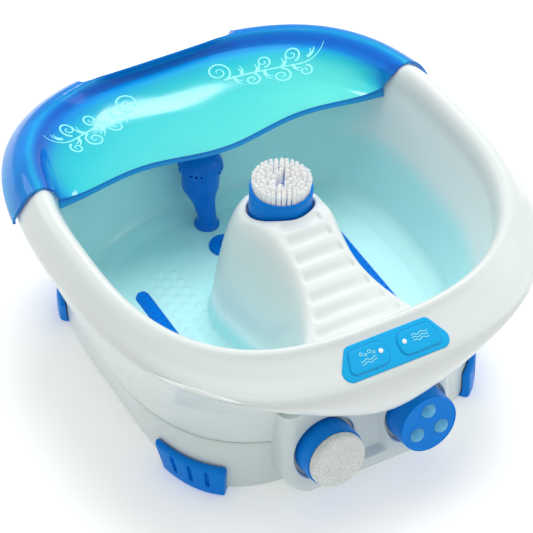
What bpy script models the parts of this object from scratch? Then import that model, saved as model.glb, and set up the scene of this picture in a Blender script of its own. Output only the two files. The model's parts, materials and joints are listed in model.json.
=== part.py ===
"""Bubbling foot bath with a lift-off splash guard and three clip-in pedicure heads.

Frame: X is the bath's right as seen from the front, +Y its back, +Z up.  The origin is on the
floor, under the middle of the overall box.  Sizes below are in millimetres; MM turns them into
metres when a mesh is made.
"""

import bpy
import bmesh
import math
from mathutils import Matrix, Vector

MM = 0.001
GAP = 0.3

# ---------------------------------------------------------------- driving dimensions, in mm
SIDE_STEPS = 30
FRONT_STEPS = 20
SHELL = 2.8
SEAM_Z = 52.0
PAN_BOTTOM_Z = 3.0
FLOOR_Z = 50.0

# outlines of the lower body: height, half width, reach to the front, reach to the back and
# corner power.  The sides flare in one straight slope up to the rim.
BODY_SECTION = [
    (PAN_BOTTOM_Z, 144.0, 148.0, 163.0, 4.0),
    (SEAM_Z, 156.0, 153.0, 167.0, 2.70),
    (94.0, 172.0, 157.5, 172.0, 2.65),
    (125.0, 184.0, 177.0, 179.0, 2.65),
    (154.0, 195.0, 201.0, 186.0, 2.70),
]
# height of the skirt's top edge: along the sides, under the front apron and at the back
SKIRT_TOP_Z = (153.4, 88.6, 124.0)

# tub section from under the lip, over the rim, to the edge of the floor.  Each row gives
# (half width, height at the sides), (front, height), (back, height) and the corner power.
TUB_SECTION = [
    ((188.0, 157.6), (160.0, 91.0), (182.0, 128.4), 2.65),
    ((192.0, 156.2), (186.0, 93.0), (187.0, 127.4), 2.65),
    ((195.5, 156.0), (193.0, 97.5), (191.0, 129.0), 2.65),
    ((197.4, 157.2), (201.5, 108.5), (194.0, 133.0), 2.65),
    ((198.2, 159.2), (206.7, 122.0), (196.0, 138.0), 2.68),
    ((198.4, 161.8), (207.5, 135.0), (197.0, 143.0), 2.72),
    ((197.8, 165.2), (204.8, 145.8), (196.2, 146.2), 2.76),
    ((195.6, 170.6), (199.2, 152.3), (194.0, 148.6), 2.80),
    ((191.0, 177.5), (187.0, 159.2), (189.0, 151.0), 2.80),
    ((185.0, 184.7), (175.0, 166.1), (183.0, 152.5), 2.80),
    ((178.5, 187.5), (169.0, 171.3), (176.0, 153.0), 2.80),
    ((172.5, 184.5), (163.8, 169.5), (168.5, 151.0), 2.80),
    ((167.5, 174.0), (160.0, 161.0), (162.5, 145.0), 2.80),
    ((163.0, 153.0), (157.0, 146.0), (158.0, 132.0), 2.80),
    ((154.0, 105.0), (148.0, 105.0), (149.5, 102.0), 2.75),
    ((145.5, 69.0), (138.5, 69.0), (139.5, 69.0), 2.70),
    ((139.5, 57.0), (132.5, 57.0), (133.5, 57.0), 2.70),
    ((125.0, FLOOR_Z), (118.0, FLOOR_Z), (119.0, FLOOR_Z), 2.70),
]
# how far each of the first rows follows the rim's own fall rather than the apron under it
RIM_PULL = (0.0, 0.0, 0.0, 0.0, 0.0, 0.3, 0.6, 0.85)
APRON_HALF = 155.0
APRON_ROUND = 20.0
HEIGHT_EASE = 2.5
DROP_START_Y = 68.0
DROP_END_Y = 128.0

# centre ridge with the brush post
POST_Y = -12.0
POST_Z = 171.4
POST_TILT = -0.31
SOCKET_R = 27.7
SOCKET_DEPTH = 20.0
RIDGE_FOOT_Y = -146.0
RIDGE_FOOT_Z = 151.0
FLOOR_FILLET = 16.0
RIDGE_STEPS = (0.0, 0.035, 0.085, 0.14, 0.20, 0.265, 0.35, 0.46, 0.62, 0.81)

# splash guard
GUARD_WALL = 2.4
GUARD_COLUMNS = 37
GUARD_END_Y = 76.0

# control panel on the front of the lip
PANEL_TOP = (-174.3, 166.5)
PANEL_BOTTOM = (-199.3, 152.2)
PANEL_TOP_HALF = 37.0
PANEL_BOTTOM_HALF = 48.0
PANEL_THICK = 1.6

# accessory dock under the front of the lip
CUP_X = 42.5
CUP_R = 26.0
CUP_FACE = (-187.1, 52.8)
CUP_TILT = math.radians(10.0)
CUP_LENGTH = 25.0
DOCK_HALF = 79.0
DOCK_BOTTOM_Z = 4.0
DOCK_TOP_Z = 90.2
DOCK_EASE_Z = 70.0
DOCK_EASE = 0.13

# drive units under the floor: where each stands, its housing radius and heights
PUMP_AT = (0.0, 2.0)
PUMP_R = 23.0
BLOWER_AT = (0.0, -84.0)
BLOWER_R = 28.0
DRIVE_BASE_Z = 8.0
DRIVE_RIM_Z = 26.0
MOTOR_LOW_Z = 30.0
MOTOR_TOP_Z = 62.0
SHAFT_R = 2.0
BORE_R = 2.12
STRIP_X = 92.0
STRIP_LENGTH = 116.0
INTAKE_AT = (0.0, 76.0)
INTAKE_HOLE_R = 9.0
AIR_FEED_Y = -36.0
AIR_FEED_HOLE_R = 4.4
JET_FOOT_Y = 108.0
JET_Y = 121.0
JET_HOUSING_R = 16.5
JET_HEAD_R = 19.2
JET_HOLE_R = 6.2
JET_PARTING_Z = 103.5

# base, feet and fasteners
PAN_WALL = 2.5
SKIRT_SHARES = (0.0, 0.3, 0.6, 1.0)
GLAND_AT = (70.0, 26.0)
GLAND_R = 5.0
SCREW_AT = ((-62.0, -100.0), (62.0, -100.0), (-62.0, 100.0), (62.0, 100.0))
SCREW_R = 1.8
BOSS_R = 5.0
BOSS_TOP_Z = 48.4
DOCK_SCREW_AT = ((-22.0, 14.0), (22.0, 14.0))
FOOT_HEIGHT = 28.0
FOOT_TOE = 12.0
FOOT_GAP = 0.9
FOOT_STARTS = {-1: 18.0, 1: 23.0}
FOOT_END = 52.4
FOOT_STEPS = 4
PAD_AT = 94.0
CORNERS = (("front_left", -1, -1), ("front_right", 1, -1), ("back_left", -1, 1), ("back_right", 1, 1))

# panel details, measured on its sloping plane
PANEL_RISE = PANEL_TOP[1] - PANEL_BOTTOM[1]
PANEL_RUN = PANEL_TOP[0] - PANEL_BOTTOM[0]
PANEL_LENGTH = math.hypot(PANEL_RISE, PANEL_RUN)
PANEL_TURN = Matrix.Rotation(math.atan2(PANEL_RISE, PANEL_RUN), 4, "X")
PANEL_SINK = 0.8
BUTTON_X = 21.0
BUTTON_V = 1.5
BUTTON_HALF_V = 10.0
BUTTON_LOW = 0.4
BUTTON_HIGH = 2.2
LAMP_X = 10.7
BOARD_DEPTH = 14.0
STEM_LOW = -9.0

# heads that clip into the dock and the post
CUP_TURN = Matrix.Rotation(math.radians(90.0) - CUP_TILT, 4, "X")
CUP_SHOWN = 20.0
CUP_MOUTH_Y = CUP_FACE[0] + CUP_SHOWN * math.cos(CUP_TILT)
CUP_MOUTH_Z = CUP_FACE[1] - CUP_SHOWN * math.sin(CUP_TILT)
BALL_R = 7.0
BALL_RING = 13.0
BALL_SINK = -3.6
BRUSH_R = 26.2
BRUSH_RIM_Z = 189.0
BRISTLE_Z = 200.0
NOTCH_HALF = 75.0
NOTCH_RAMP = 4.0
TROUGH_SAG = 6.0


# ---------------------------------------------------------------- small tools
def clear_scene():
    for item in list(bpy.data.objects):
        bpy.data.objects.remove(item, do_unlink=True)


def material(name, colour, roughness, metallic=0.0, alpha=1.0, transmission=0.0):
    made = bpy.data.materials.new(name)
    made.use_nodes = True
    shader = made.node_tree.nodes["Principled BSDF"]
    shader.inputs["Base Color"].default_value = (*colour, 1.0)
    shader.inputs["Roughness"].default_value = roughness
    shader.inputs["Metallic"].default_value = metallic
    shader.inputs["Alpha"].default_value = alpha
    shader.inputs["Transmission Weight"].default_value = transmission
    return made


def add_object(name, mesh, colour, smooth=40.0):
    made = bpy.data.objects.new(name, mesh)
    bpy.context.scene.collection.objects.link(made)
    mesh.materials.append(colour)
    mesh.shade_smooth()
    mesh.set_sharp_from_angle(angle=math.radians(smooth))
    return made


def finish_mesh(name, shape, colour, smooth=40.0, at=None, sheet=False):
    """Turn a bmesh built in millimetres into an object whose origin is at the point given."""
    if not sheet:
        bmesh.ops.recalc_face_normals(shape, faces=shape.faces)
    origin = Vector(at) if at else Vector((0.0, 0.0, 0.0))
    bmesh.ops.transform(shape, matrix=Matrix.Scale(MM, 4) @ Matrix.Translation(-origin), verts=shape.verts)
    mesh = bpy.data.meshes.new(name)
    shape.to_mesh(mesh)
    shape.free()
    made = add_object(name, mesh, colour, smooth)
    made.location = origin * MM
    return made


def signed_power(value, power):
    return math.copysign(abs(value) ** power, value)


def outline_point(half_x, front, back, power, angle):
    """A point on a rounded-rectangle outline: half_x wide, front deep in -Y, back deep in +Y."""
    x = half_x * signed_power(math.cos(angle), 2.0 / power)
    depth = back if math.sin(angle) > 0.0 else front
    y = depth * signed_power(math.sin(angle), 2.0 / power)
    return x, y


def mix(low, high, share):
    return low + (high - low) * share


def smooth_step(share):
    share = min(max(share, 0.0), 1.0)
    return share * share * (3.0 - 2.0 * share)


def smooth_max(one, two, reach):
    overlap = max(reach - abs(one - two), 0.0) / reach
    return max(one, two) + overlap * overlap * reach * 0.25


def smooth_min(one, two, reach):
    return -smooth_max(-one, -two, reach)


def loop_faces(shape, first, second):
    count = len(first)
    for index in range(count):
        after = (index + 1) % count
        shape.faces.new((first[index], first[after], second[after], second[index]))


def turned(name, profile, colour, at=(0.0, 0.0, 0.0), tilt=None, segments=24, origin=None):
    """Spin a profile of (radius, height) points; radius 0 closes the shape on its axis."""
    shape = bmesh.new()
    rows = []
    for radius, height in profile:
        if radius == 0.0:
            rows.append([shape.verts.new((0.0, 0.0, height))])
            continue
        row = []
        for step in range(segments):
            angle = 2.0 * math.pi * (step + 0.5) / segments
            row.append(shape.verts.new((radius * math.cos(angle), radius * math.sin(angle), height)))
        rows.append(row)
    bored = profile[0][0] > 0.0
    last = len(rows) if bored else len(rows) - 1
    for index in range(last):
        upper = rows[index]
        lower = rows[(index + 1) % len(rows)]
        if len(upper) == 1:
            fan(shape, upper[0], lower)
        elif len(lower) == 1:
            fan(shape, lower[0], upper)
        else:
            loop_faces(shape, upper, lower)
    turn = tilt if tilt else Matrix.Identity(4)
    bmesh.ops.transform(shape, matrix=Matrix.Translation(Vector(at)) @ turn, verts=shape.verts)
    return finish_mesh(name, shape, colour, at=origin if origin else at)


def fan(shape, centre, row):
    for index in range(len(row)):
        shape.faces.new((centre, row[index], row[(index + 1) % len(row)]))


def block(name, size, at, colour, turn=None, bevel=0.0, origin=None):
    shape = bmesh.new()
    bmesh.ops.create_cube(shape, size=1.0)
    bmesh.ops.scale(shape, vec=size, verts=shape.verts)
    if bevel > 0.0:
        bmesh.ops.bevel(shape, geom=shape.edges[:], offset=bevel, segments=1, affect="EDGES")
    matrix = Matrix.Translation(Vector(at)) @ (turn if turn else Matrix.Identity(4))
    bmesh.ops.transform(shape, matrix=matrix, verts=shape.verts)
    return finish_mesh(name, shape, colour, smooth=30.0, at=origin if origin else at)


def hose(name, route, radius, colour, resolution=2):
    """A solid flexible pipe along a smooth curve through the points of its route."""
    points = smooth_route([Vector(point) for point in route])
    curve = bpy.data.curves.new(name, "CURVE")
    curve.dimensions = "3D"
    curve.bevel_depth = radius * MM
    curve.bevel_resolution = resolution
    curve.use_fill_caps = True
    spline = curve.splines.new("POLY")
    spline.points.add(len(points) - 1)
    for spot, point in zip(spline.points, points):
        spot.co = (*(point * MM), 1.0)
    made = bpy.data.objects.new(name, curve)
    bpy.context.scene.collection.objects.link(made)
    curve.materials.append(colour)
    return made


def smooth_route(route, steps=3):
    padded = [route[0] * 2.0 - route[1]] + route + [route[-1] * 2.0 - route[-2]]
    points = []
    for index in range(1, len(padded) - 2):
        before, start, end, after = padded[index - 1:index + 3]
        for step in range(steps):
            t = step / steps
            point = (
                start * 2.0
                + (end - before) * t
                + (before * 2.0 - start * 5.0 + end * 4.0 - after) * t * t
                + (start * 3.0 - before - end * 3.0 + after) * t ** 3
            ) * 0.5
            points.append(point)
    points.append(route[-1])
    return points


def combine(target, guides, operation="UNION"):
    """Join each guide to the target, or subtract it; guides stay hidden."""
    for guide in guides:
        guide.hide_render = True
        guide.display_type = "WIRE"
        boolean = target.modifiers.new(guide.name, "BOOLEAN")
        boolean.operation = operation
        boolean.solver = "EXACT"
        boolean.object = guide


def cut(target, cutters):
    combine(target, cutters, "DIFFERENCE")


def angles():
    """Directions round the body, closer together at the front where the ridge meets the rim."""
    round_back = [270.0 * step / SIDE_STEPS - 45.0 for step in range(SIDE_STEPS + 1)]
    across_front = [90.0 * step / FRONT_STEPS + 225.0 for step in range(1, FRONT_STEPS)]
    return [math.radians(angle) for angle in round_back + across_front]


# ---------------------------------------------------------------- tub
def apron_share(x):
    """The apron under the front rim is deepest in the middle and fades out towards the sides."""
    run = math.hypot(x, APRON_ROUND) - APRON_ROUND
    return smooth_max(1.0 - run / (APRON_HALF - APRON_ROUND), 0.0, 0.06)


def back_share(y):
    return smooth_step((y - DROP_START_Y) / (DROP_END_Y - DROP_START_Y))


def section_point(row, angle, pull=1.0):
    side, front, back, power = row
    x, y = outline_point(side[0], front[0], back[0], power, angle)
    if y > 0.0:
        return Vector((x, y, mix(side[1], back[1], back_share(y))))
    share = mix(apron_share(x), (abs(y) / front[0]) ** HEIGHT_EASE, pull)
    return Vector((x, y, mix(side[1], front[1], share)))


def spine_height(y):
    """Height of the ridge's centre line: the tilted post top, then a hollow slope to the rim."""
    post = POST_Z + POST_TILT * (y - POST_Y)
    run = max(y - RIDGE_FOOT_Y, 0.0) / 103.0
    return smooth_min(post, RIDGE_FOOT_Z + 27.5 * run ** 1.45, 6.0)


def spine_half_width(y):
    if y > -75.0:
        return 21.5 + 8.5 * (min(y - -75.0, 63.0) / 63.0) ** 1.5
    return 21.5 + 38.0 * ((-75.0 - y) / 80.0) ** 2.0


def ridge_height(x, y):
    """Height of the moulded ridge over a point of the floor plan."""
    reach = math.hypot(x, max(y - POST_Y, 0.0))
    out = max(reach - spine_half_width(min(y, POST_Y)), 0.0)
    crown = 0.004 * x * x
    return spine_height(y) - crown - 0.0577 * out ** 2.3


def floor_ring(share, angle):
    """The floor's outline shrinks to the round post as share goes from 1 to 0."""
    edge = TUB_SECTION[-1]
    half = mix(SOCKET_R, edge[0][0], share)
    front = mix(SOCKET_R, edge[1][0], share)
    back = mix(SOCKET_R, edge[2][0], share)
    power = mix(2.0, edge[3], share)
    x, y = outline_point(half, front, back, power, angle)
    return x, y + mix(POST_Y, 0.0, share)


def tub_surface_rows():
    rows = []
    rim_rows = 13
    for index, row in enumerate(TUB_SECTION):
        points = []
        pull = RIM_PULL[index] if index < len(RIM_PULL) else 1.0
        for angle in angles():
            point = section_point(row, angle, pull)
            if index >= rim_rows:
                point.z = smooth_max(point.z, ridge_height(point.x, point.y), FLOOR_FILLET)
            points.append(point)
        rows.append(points)
    for share in reversed(RIDGE_STEPS):
        points = []
        for angle in angles():
            x, y = floor_ring(share, angle)
            z = smooth_max(FLOOR_Z, ridge_height(x, y), FLOOR_FILLET)
            points.append(Vector((x, y, z)))
        rows.append(points)
    return rows


def thicken(target, thickness):
    wall = target.modifiers.new("wall", "SOLIDIFY")
    wall.thickness = thickness * MM
    wall.offset = -1.0
    wall.use_even_offset = False


def build_tub(colour):
    shape = bmesh.new()
    rows = [[shape.verts.new(point) for point in row] for row in tub_surface_rows()]
    socket_floor = POST_Z - SOCKET_DEPTH
    ring = []
    for angle in angles():
        x = (SOCKET_R - GAP) * math.cos(angle)
        y = POST_Y + (SOCKET_R - GAP) * math.sin(angle)
        ring.append(shape.verts.new((x, y, socket_floor)))
    rows.append(ring)
    for first, second in zip(rows, rows[1:]):
        loop_faces(shape, first, second)
    centre = shape.verts.new((0.0, POST_Y, socket_floor))
    fan(shape, centre, rows[-1])
    tub = finish_mesh("tub", shape, colour, sheet=True)
    thicken(tub, SHELL)
    posts = [rod("boss_guide", (x, y, 6.0), (x, y, BOSS_TOP_Z), BOSS_R, colour, 14) for x, y in SCREW_AT]
    combine(tub, posts)
    cut(tub, tub_cutters(colour))
    return tub


def rod(name, start, end, radius, colour, segments=16):
    """A plain round bar from start to end, used for cutters and straight pipes."""
    first = Vector(start)
    along = Vector(end) - first
    turn = along.to_track_quat("Z", "Y").to_matrix().to_4x4()
    profile = ((0.0, 0.0), (radius, 0.0), (radius, along.length), (0.0, along.length))
    return turned(name, profile, colour, at=start, tilt=turn, segments=segments)


def tub_cutters(colour):
    """Holes for the intake, air feeds, jet and screws, and windows behind the buttons."""
    wells = [(*INTAKE_AT, INTAKE_HOLE_R), (0.0, JET_FOOT_Y, JET_HOLE_R)]
    wells += [(side * STRIP_X, AIR_FEED_Y, AIR_FEED_HOLE_R) for side in (-1.0, 1.0)]
    holes = [rod("floor_cutter", (x, y, 40.0), (x, y, 60.0), radius, colour) for x, y, radius in wells]
    for x, y in SCREW_AT:
        holes.append(rod("pilot_cutter", (x, y, 0.0), (x, y, 24.0), SCREW_R + GAP, colour, 8))
    for side in (-1.0, 1.0):
        at = panel_spot(side * BUTTON_X, BUTTON_V, -4.0)
        holes.append(block("window_cutter", (26.0, 9.0, 20.0), at, colour, PANEL_TURN))
    holes.append(panel_plate("recess_cutter", colour, 0.4, -PANEL_SINK - GAP, 6.0))
    return holes


# ---------------------------------------------------------------- lower body
def body_outline(z):
    """Half width, reach to the front and to the back, and corner power at a height."""
    low, high = BODY_SECTION[0], BODY_SECTION[1]
    for first, second in zip(BODY_SECTION, BODY_SECTION[1:]):
        if z > first[0]:
            low, high = first, second
    share = (z - low[0]) / (high[0] - low[0])
    return [mix(low[index], high[index], share) for index in (1, 2, 3, 4)]


def body_point(angle, z, inset=0.0):
    half, front, back, power = body_outline(z)
    x, y = outline_point(half - inset, front - inset, back - inset, power, angle)
    return Vector((x, y, z))


def body_ring(shape, z, inset=0.0):
    return [shape.verts.new(body_point(angle, z, inset)) for angle in angles()]


def skirt_top(angle):
    """The skirt's top edge keeps just under the tub's lip, so it is found step by step."""
    side, front, back = SKIRT_TOP_Z
    z = side
    for _ in range(8):
        point = body_point(angle, z)
        if point.y > 0.0:
            goal = mix(side, back, back_share(point.y))
        else:
            goal = mix(side, front, apron_share(point.x))
        z = mix(z, goal, 0.7)
    return z


def build_base_pan(colour):
    shape = bmesh.new()
    top = SEAM_Z - GAP * 0.5
    rings = [
        body_ring(shape, PAN_BOTTOM_Z, 1.6),
        body_ring(shape, PAN_BOTTOM_Z + 2.0),
        body_ring(shape, top * 0.6),
        body_ring(shape, top),
        body_ring(shape, top, PAN_WALL),
        body_ring(shape, PAN_BOTTOM_Z + PAN_WALL, PAN_WALL),
    ]
    for first, second in zip(rings, rings[1:]):
        loop_faces(shape, first, second)
    fan(shape, shape.verts.new((0.0, 0.0, PAN_BOTTOM_Z)), rings[0])
    fan(shape, shape.verts.new((0.0, 0.0, PAN_BOTTOM_Z + PAN_WALL)), rings[-1])
    pan = finish_mesh("base_pan", shape, colour)
    x, z = GLAND_AT
    cutters = [rod("gland_cutter", (x, 130.0, z), (x, 185.0, z), GLAND_R + 0.5, colour)]
    for slot in range(4):
        slot_x = (slot - 1.5) * 9.0
        slot_at = (slot_x, BLOWER_AT[1], PAN_BOTTOM_Z)
        cutters.append(block("vent_cutter", (3.0, 34.0, 12.0), slot_at, colour))
    for x, y in SCREW_AT:
        cutters.append(rod("screw_cutter", (x, y, -1.0), (x, y, 12.0), SCREW_R + GAP, colour, 8))
    cutters += dock_screw_cutters(colour)
    cut(pan, cutters)
    return pan


def dock_screw_cutters(colour):
    holes = []
    for x, z in DOCK_SCREW_AT:
        holes.append(rod("dock_pilot_cutter", (x, -140.0, z), (x, -162.5, z), SCREW_R + GAP, colour, 8))
    return holes


def build_skirt(colour):
    shape = bmesh.new()
    bottom = SEAM_Z + GAP
    tops = [skirt_top(angle) for angle in angles()]
    rings = []
    for inset, shares in ((0.0, SKIRT_SHARES), (PAN_WALL, reversed(SKIRT_SHARES))):
        for share in shares:
            ring = []
            for angle, top in zip(angles(), tops):
                ring.append(shape.verts.new(body_point(angle, mix(bottom, top, share), inset)))
            rings.append(ring)
    for index in range(len(rings)):
        loop_faces(shape, rings[index], rings[(index + 1) % len(rings)])
    return finish_mesh("side_skirt", shape, colour)


def build_foot(name, side_x, side_y, colour):
    """A grip foot: an upright band round one corner of the pan with a toe under its bottom."""
    section = (
        (FOOT_GAP, FOOT_HEIGHT),
        (4.4, FOOT_HEIGHT),
        (5.6, FOOT_HEIGHT - 2.0),
        (6.0, 2.0),
        (5.2, 0.0),
        (-FOOT_TOE, 0.0),
        (-FOOT_TOE, PAN_BOTTOM_Z - 2.0 * GAP),
        (FOOT_GAP, PAN_BOTTOM_Z - 2.0 * GAP),
    )
    shape = bmesh.new()
    rows = []
    start = FOOT_STARTS[side_y]
    for step in range(FOOT_STEPS + 1):
        angle = math.radians(mix(start, FOOT_END, step / FOOT_STEPS)) * side_y
        row = []
        for out, z in section:
            point = body_point(angle, max(z, PAN_BOTTOM_Z), -out)
            row.append(shape.verts.new((side_x * point.x, point.y, z)))
        rows.append(row)
    for first, second in zip(rows, rows[1:]):
        loop_faces(shape, first, second)
    shape.faces.new(rows[0])
    shape.faces.new(rows[-1])
    return finish_mesh(name, shape, colour, smooth=30.0)


# ---------------------------------------------------------------- accessory dock
def dock_front(x, z):
    """How far the dock's moulded face stands forward at a point of its outline."""
    plane = CUP_MOUTH_Y + math.tan(CUP_TILT) * (z - CUP_MOUTH_Z)
    under = max(30.0 - z, 0.0) / 26.0
    side = max(abs(x) - 66.0, 0.0) / (DOCK_HALF - 66.0)
    valley = max(1.0 - (x / 17.0) ** 2, 0.0) * min(max((z - 22.0) / 10.0, 0.0), 1.0)
    return plane + 8.0 * under * under + 12.0 * side ** 2.4 + 9.0 * valley


def dock_back(x, z):
    """The dock's rear face follows the body and stands a little clear of the flare near its top."""
    half, front, _, power = body_outline(z)
    clear = 2.0 * GAP + DOCK_EASE * max(z - DOCK_EASE_Z, 0.0)
    return -front * (1.0 - abs(x / half) ** power) ** (1.0 / power) - clear


def dock_half_width(z):
    """The dock's sides stand upright and curl in towards its bottom edge."""
    low = max(34.0 - z, 0.0) / 30.0
    return DOCK_HALF - 16.0 * low * low


def build_dock(colour):
    shape = bmesh.new()
    columns = 23
    last = 10
    heights = [mix(DOCK_BOTTOM_Z, DOCK_TOP_Z, row / last) for row in range(last + 1)]
    front = []
    back = []
    for z in heights:
        half = dock_half_width(z)
        turns = [math.pi * (step / (columns - 1.0) - 0.5) for step in range(columns)]
        spots = [half * math.sin(turn) for turn in turns]
        back.append([shape.verts.new((x, dock_back(x, z), z)) for x in spots])
        face = []
        for x in spots:
            y = min(dock_front(x * DOCK_HALF / half, z), dock_back(x, z) - 3.0)
            face.append(shape.verts.new((x, y, z)))
        front.append(face)
    for low, high in zip(range(last), range(1, last + 1)):
        for step in range(columns - 1):
            after = step + 1
            shape.faces.new((front[low][step], front[low][after], front[high][after], front[high][step]))
            shape.faces.new((back[low][step], back[high][step], back[high][after], back[low][after]))
        for edge in (0, columns - 1):
            shape.faces.new((front[low][edge], front[high][edge], back[high][edge], back[low][edge]))
    for row in (0, last):
        for step in range(columns - 1):
            shape.faces.new((front[row][step], front[row][step + 1], back[row][step + 1], back[row][step]))
    bmesh.ops.triangulate(shape, faces=shape.faces)
    dock = finish_mesh("accessory_dock", shape, colour)
    cutters = []
    for side in (-1.0, 1.0):
        radius = CUP_R + 1.3
        deep = -CUP_LENGTH - 1.0
        profile = ((0.0, deep), (radius, deep), (radius, 10.0), (0.0, 10.0))
        at = (side * CUP_X, CUP_FACE[0], CUP_FACE[1])
        cutters.append(turned("socket_cutter", profile, colour, at=at, tilt=CUP_TURN, segments=30))
    cut(dock, cutters + dock_screw_cutters(colour))
    return dock


def build_cup(name, side, colour, solid_face):
    """A clip-in head's cup, open behind; its face is a plate for balls or a ledge for a stone."""
    rim = 0.0 if solid_face else -5.0
    face = -0.3 if solid_face else -9.0
    inner = CUP_R - 1.6 if solid_face else CUP_R - 2.2
    plate = -10.0
    profile = [
        (0.0, face),
        (inner, face),
        (inner + 0.8 if solid_face else inner, rim),
        (CUP_R, rim - 0.8),
        (CUP_R, -CUP_LENGTH),
        (CUP_R - 2.4, -CUP_LENGTH),
        (CUP_R - 2.4, plate - 2.0),
        (0.0, plate - 2.0),
    ]
    at = (side * CUP_X, CUP_FACE[0], CUP_FACE[1])
    return turned(name, profile, colour, at=at, tilt=CUP_TURN, segments=28)


def build_pumice(colour):
    profile = (
        (0.0, -8.6),
        (CUP_R - 2.7, -8.6),
        (CUP_R - 2.7, -4.6),
        (CUP_R - 0.3, -4.6),
        (CUP_R - 0.3, -0.2),
        (CUP_R - 1.6, 1.6),
        (CUP_R - 6.0, 2.6),
        (0.0, 3.0),
    )
    at = (-CUP_X, CUP_FACE[0], CUP_FACE[1])
    return turned("pumice_stone", profile, colour, at=at, tilt=CUP_TURN, segments=28)


def ball_spots():
    for number in range(3):
        angle = math.radians(90.0 + 120.0 * number)
        local = Vector((BALL_RING * math.cos(angle), BALL_RING * math.sin(angle), BALL_SINK))
        yield number + 1, CUP_TURN @ local + Vector((CUP_X, CUP_FACE[0], CUP_FACE[1]))


def ball_profile(radius, rows=8):
    points = [(0.0, radius)]
    for row in range(1, rows):
        turn = math.pi * row / rows
        points.append((radius * math.sin(turn), radius * math.cos(turn)))
    return points + [(0.0, -radius)]


def build_roller_head(cup_colour, ball_colour):
    cup = build_cup("roller_cup", 1.0, cup_colour, True)
    cutters = []
    for number, spot in ball_spots():
        seat = ball_profile(BALL_R + 0.7)
        cutters.append(turned("seat_cutter", seat, cup_colour, at=spot, tilt=CUP_TURN, segments=12))
        name = "roller_ball_%d" % number
        turned(name, ball_profile(BALL_R), ball_colour, at=spot, tilt=CUP_TURN, segments=12)
    cut(cup, cutters)
    return cup


def build_brush(cup_colour, bristle_colour):
    base = POST_Z - SOCKET_DEPTH + 1.0
    at = (0.0, POST_Y, 0.0)
    cup_profile = (
        (0.0, base),
        (BRUSH_R - 1.0, base),
        (BRUSH_R, base + 1.5),
        (BRUSH_R, BRUSH_RIM_Z - 1.2),
        (BRUSH_R - 1.0, BRUSH_RIM_Z),
        (BRUSH_R - 2.2, BRUSH_RIM_Z - 0.6),
        (BRUSH_R - 2.4, BRUSH_RIM_Z - 6.0),
        (0.0, BRUSH_RIM_Z - 6.0),
    )
    turned("brush_cup", cup_profile, cup_colour, at=at, segments=28)
    low = BRUSH_RIM_Z - 6.0 + GAP
    bristle_profile = (
        (0.0, low),
        (BRUSH_R - 3.2, low),
        (BRUSH_R - 3.2, low + 3.0),
        (BRUSH_R - 2.9, BRISTLE_Z - 1.5),
        (BRUSH_R - 4.4, BRISTLE_Z),
        (0.0, BRISTLE_Z),
    )
    turned("brush_bristles", bristle_profile, bristle_colour, at=at, segments=24)


# ---------------------------------------------------------------- splash guard
# flange section: (half width, height at the ends), (back, height), corner power and how far
# back the row reaches inside the finger notch
GUARD_SECTION = [
    ((201.8, 160.0), (214.24, 155.0), 2.78, 201.3),
    ((201.0, 166.0), (213.94, 164.0), 2.80, 201.0),
    ((193.5, 180.0), (208.0, 169.0), 2.80, 200.4),
    ((186.0, 187.8), (203.5, 170.6), 2.80, 199.6),
    ((178.5, 190.9), (199.6, 169.4), 2.80, 198.6),
    ((171.0, 189.2), (197.4, 164.5), 2.80, 197.4),
    ((162.8, 182.2), (194.5, 158.6), 2.80, 194.5),
]
TROUGH_STEPS = (0.12, 0.3, 0.5, 0.7, 0.86, 1.0)


def guard_section_point(row, share):
    """A point of the flange; share runs from the right end (0) round the back to the left (1)."""
    side, back, power, notch_y = row
    start = math.asin((GUARD_END_Y / back[0]) ** (power * 0.5))
    angle = mix(start, math.pi - start, share)
    x, y = outline_point(side[0], back[0], back[0], power, angle)
    height = mix(side[1], back[1], (y / back[0]) ** HEIGHT_EASE)
    notch = min(max((NOTCH_HALF - abs(x)) / NOTCH_RAMP, 0.0), 1.0)
    return Vector((x, mix(y, min(y, notch_y), notch), height))


def guard_front_point(across):
    """The trough's front edge: a gentle wave, lowest and furthest forward in the middle."""
    wave = math.cos(2.0 * math.pi * across)
    y = 83.0 - 3.5 * wave
    z = 162.5 - 1.5 * wave + 5.0 * across ** 6
    return Vector((154.2 * across, y, z))


def guard_rows():
    shares = [step / (GUARD_COLUMNS - 1.0) for step in range(GUARD_COLUMNS)]
    rows = [[guard_section_point(row, share) for share in shares] for row in GUARD_SECTION]
    border = rows[-1]
    widest = border[0].x
    for step in TROUGH_STEPS:
        line = []
        for point in border:
            across = point.x / widest
            front = guard_front_point(across)
            spot = point.lerp(front, step)
            spot.z -= TROUGH_SAG * 4.0 * step * (1.0 - step) * (1.0 - across ** 4)
            line.append(spot)
        rows.append(line)
    rows.append([point + Vector((0.0, -2.4, -6.8)) for point in rows[-1]])
    return rows


def build_guard(colour):
    shape = bmesh.new()
    rows = [[shape.verts.new(point) for point in row] for row in guard_rows()]
    for first, second in zip(rows, rows[1:]):
        for index in range(GUARD_COLUMNS - 1):
            shape.faces.new((first[index], first[index + 1], second[index + 1], second[index]))
    guard = finish_mesh("splash_guard", shape, colour, sheet=True)
    thicken(guard, GUARD_WALL)
    return guard


# ---------------------------------------------------------------- control panel
def panel_spot(x, v, out):
    """A point on the sloping panel: x across, v up the slope from its middle, out from its face."""
    middle = Vector((0.0, (PANEL_TOP[0] + PANEL_BOTTOM[0]) * 0.5, (PANEL_TOP[1] + PANEL_BOTTOM[1]) * 0.5))
    return middle + PANEL_TURN @ Vector((x, v, out))


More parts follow.
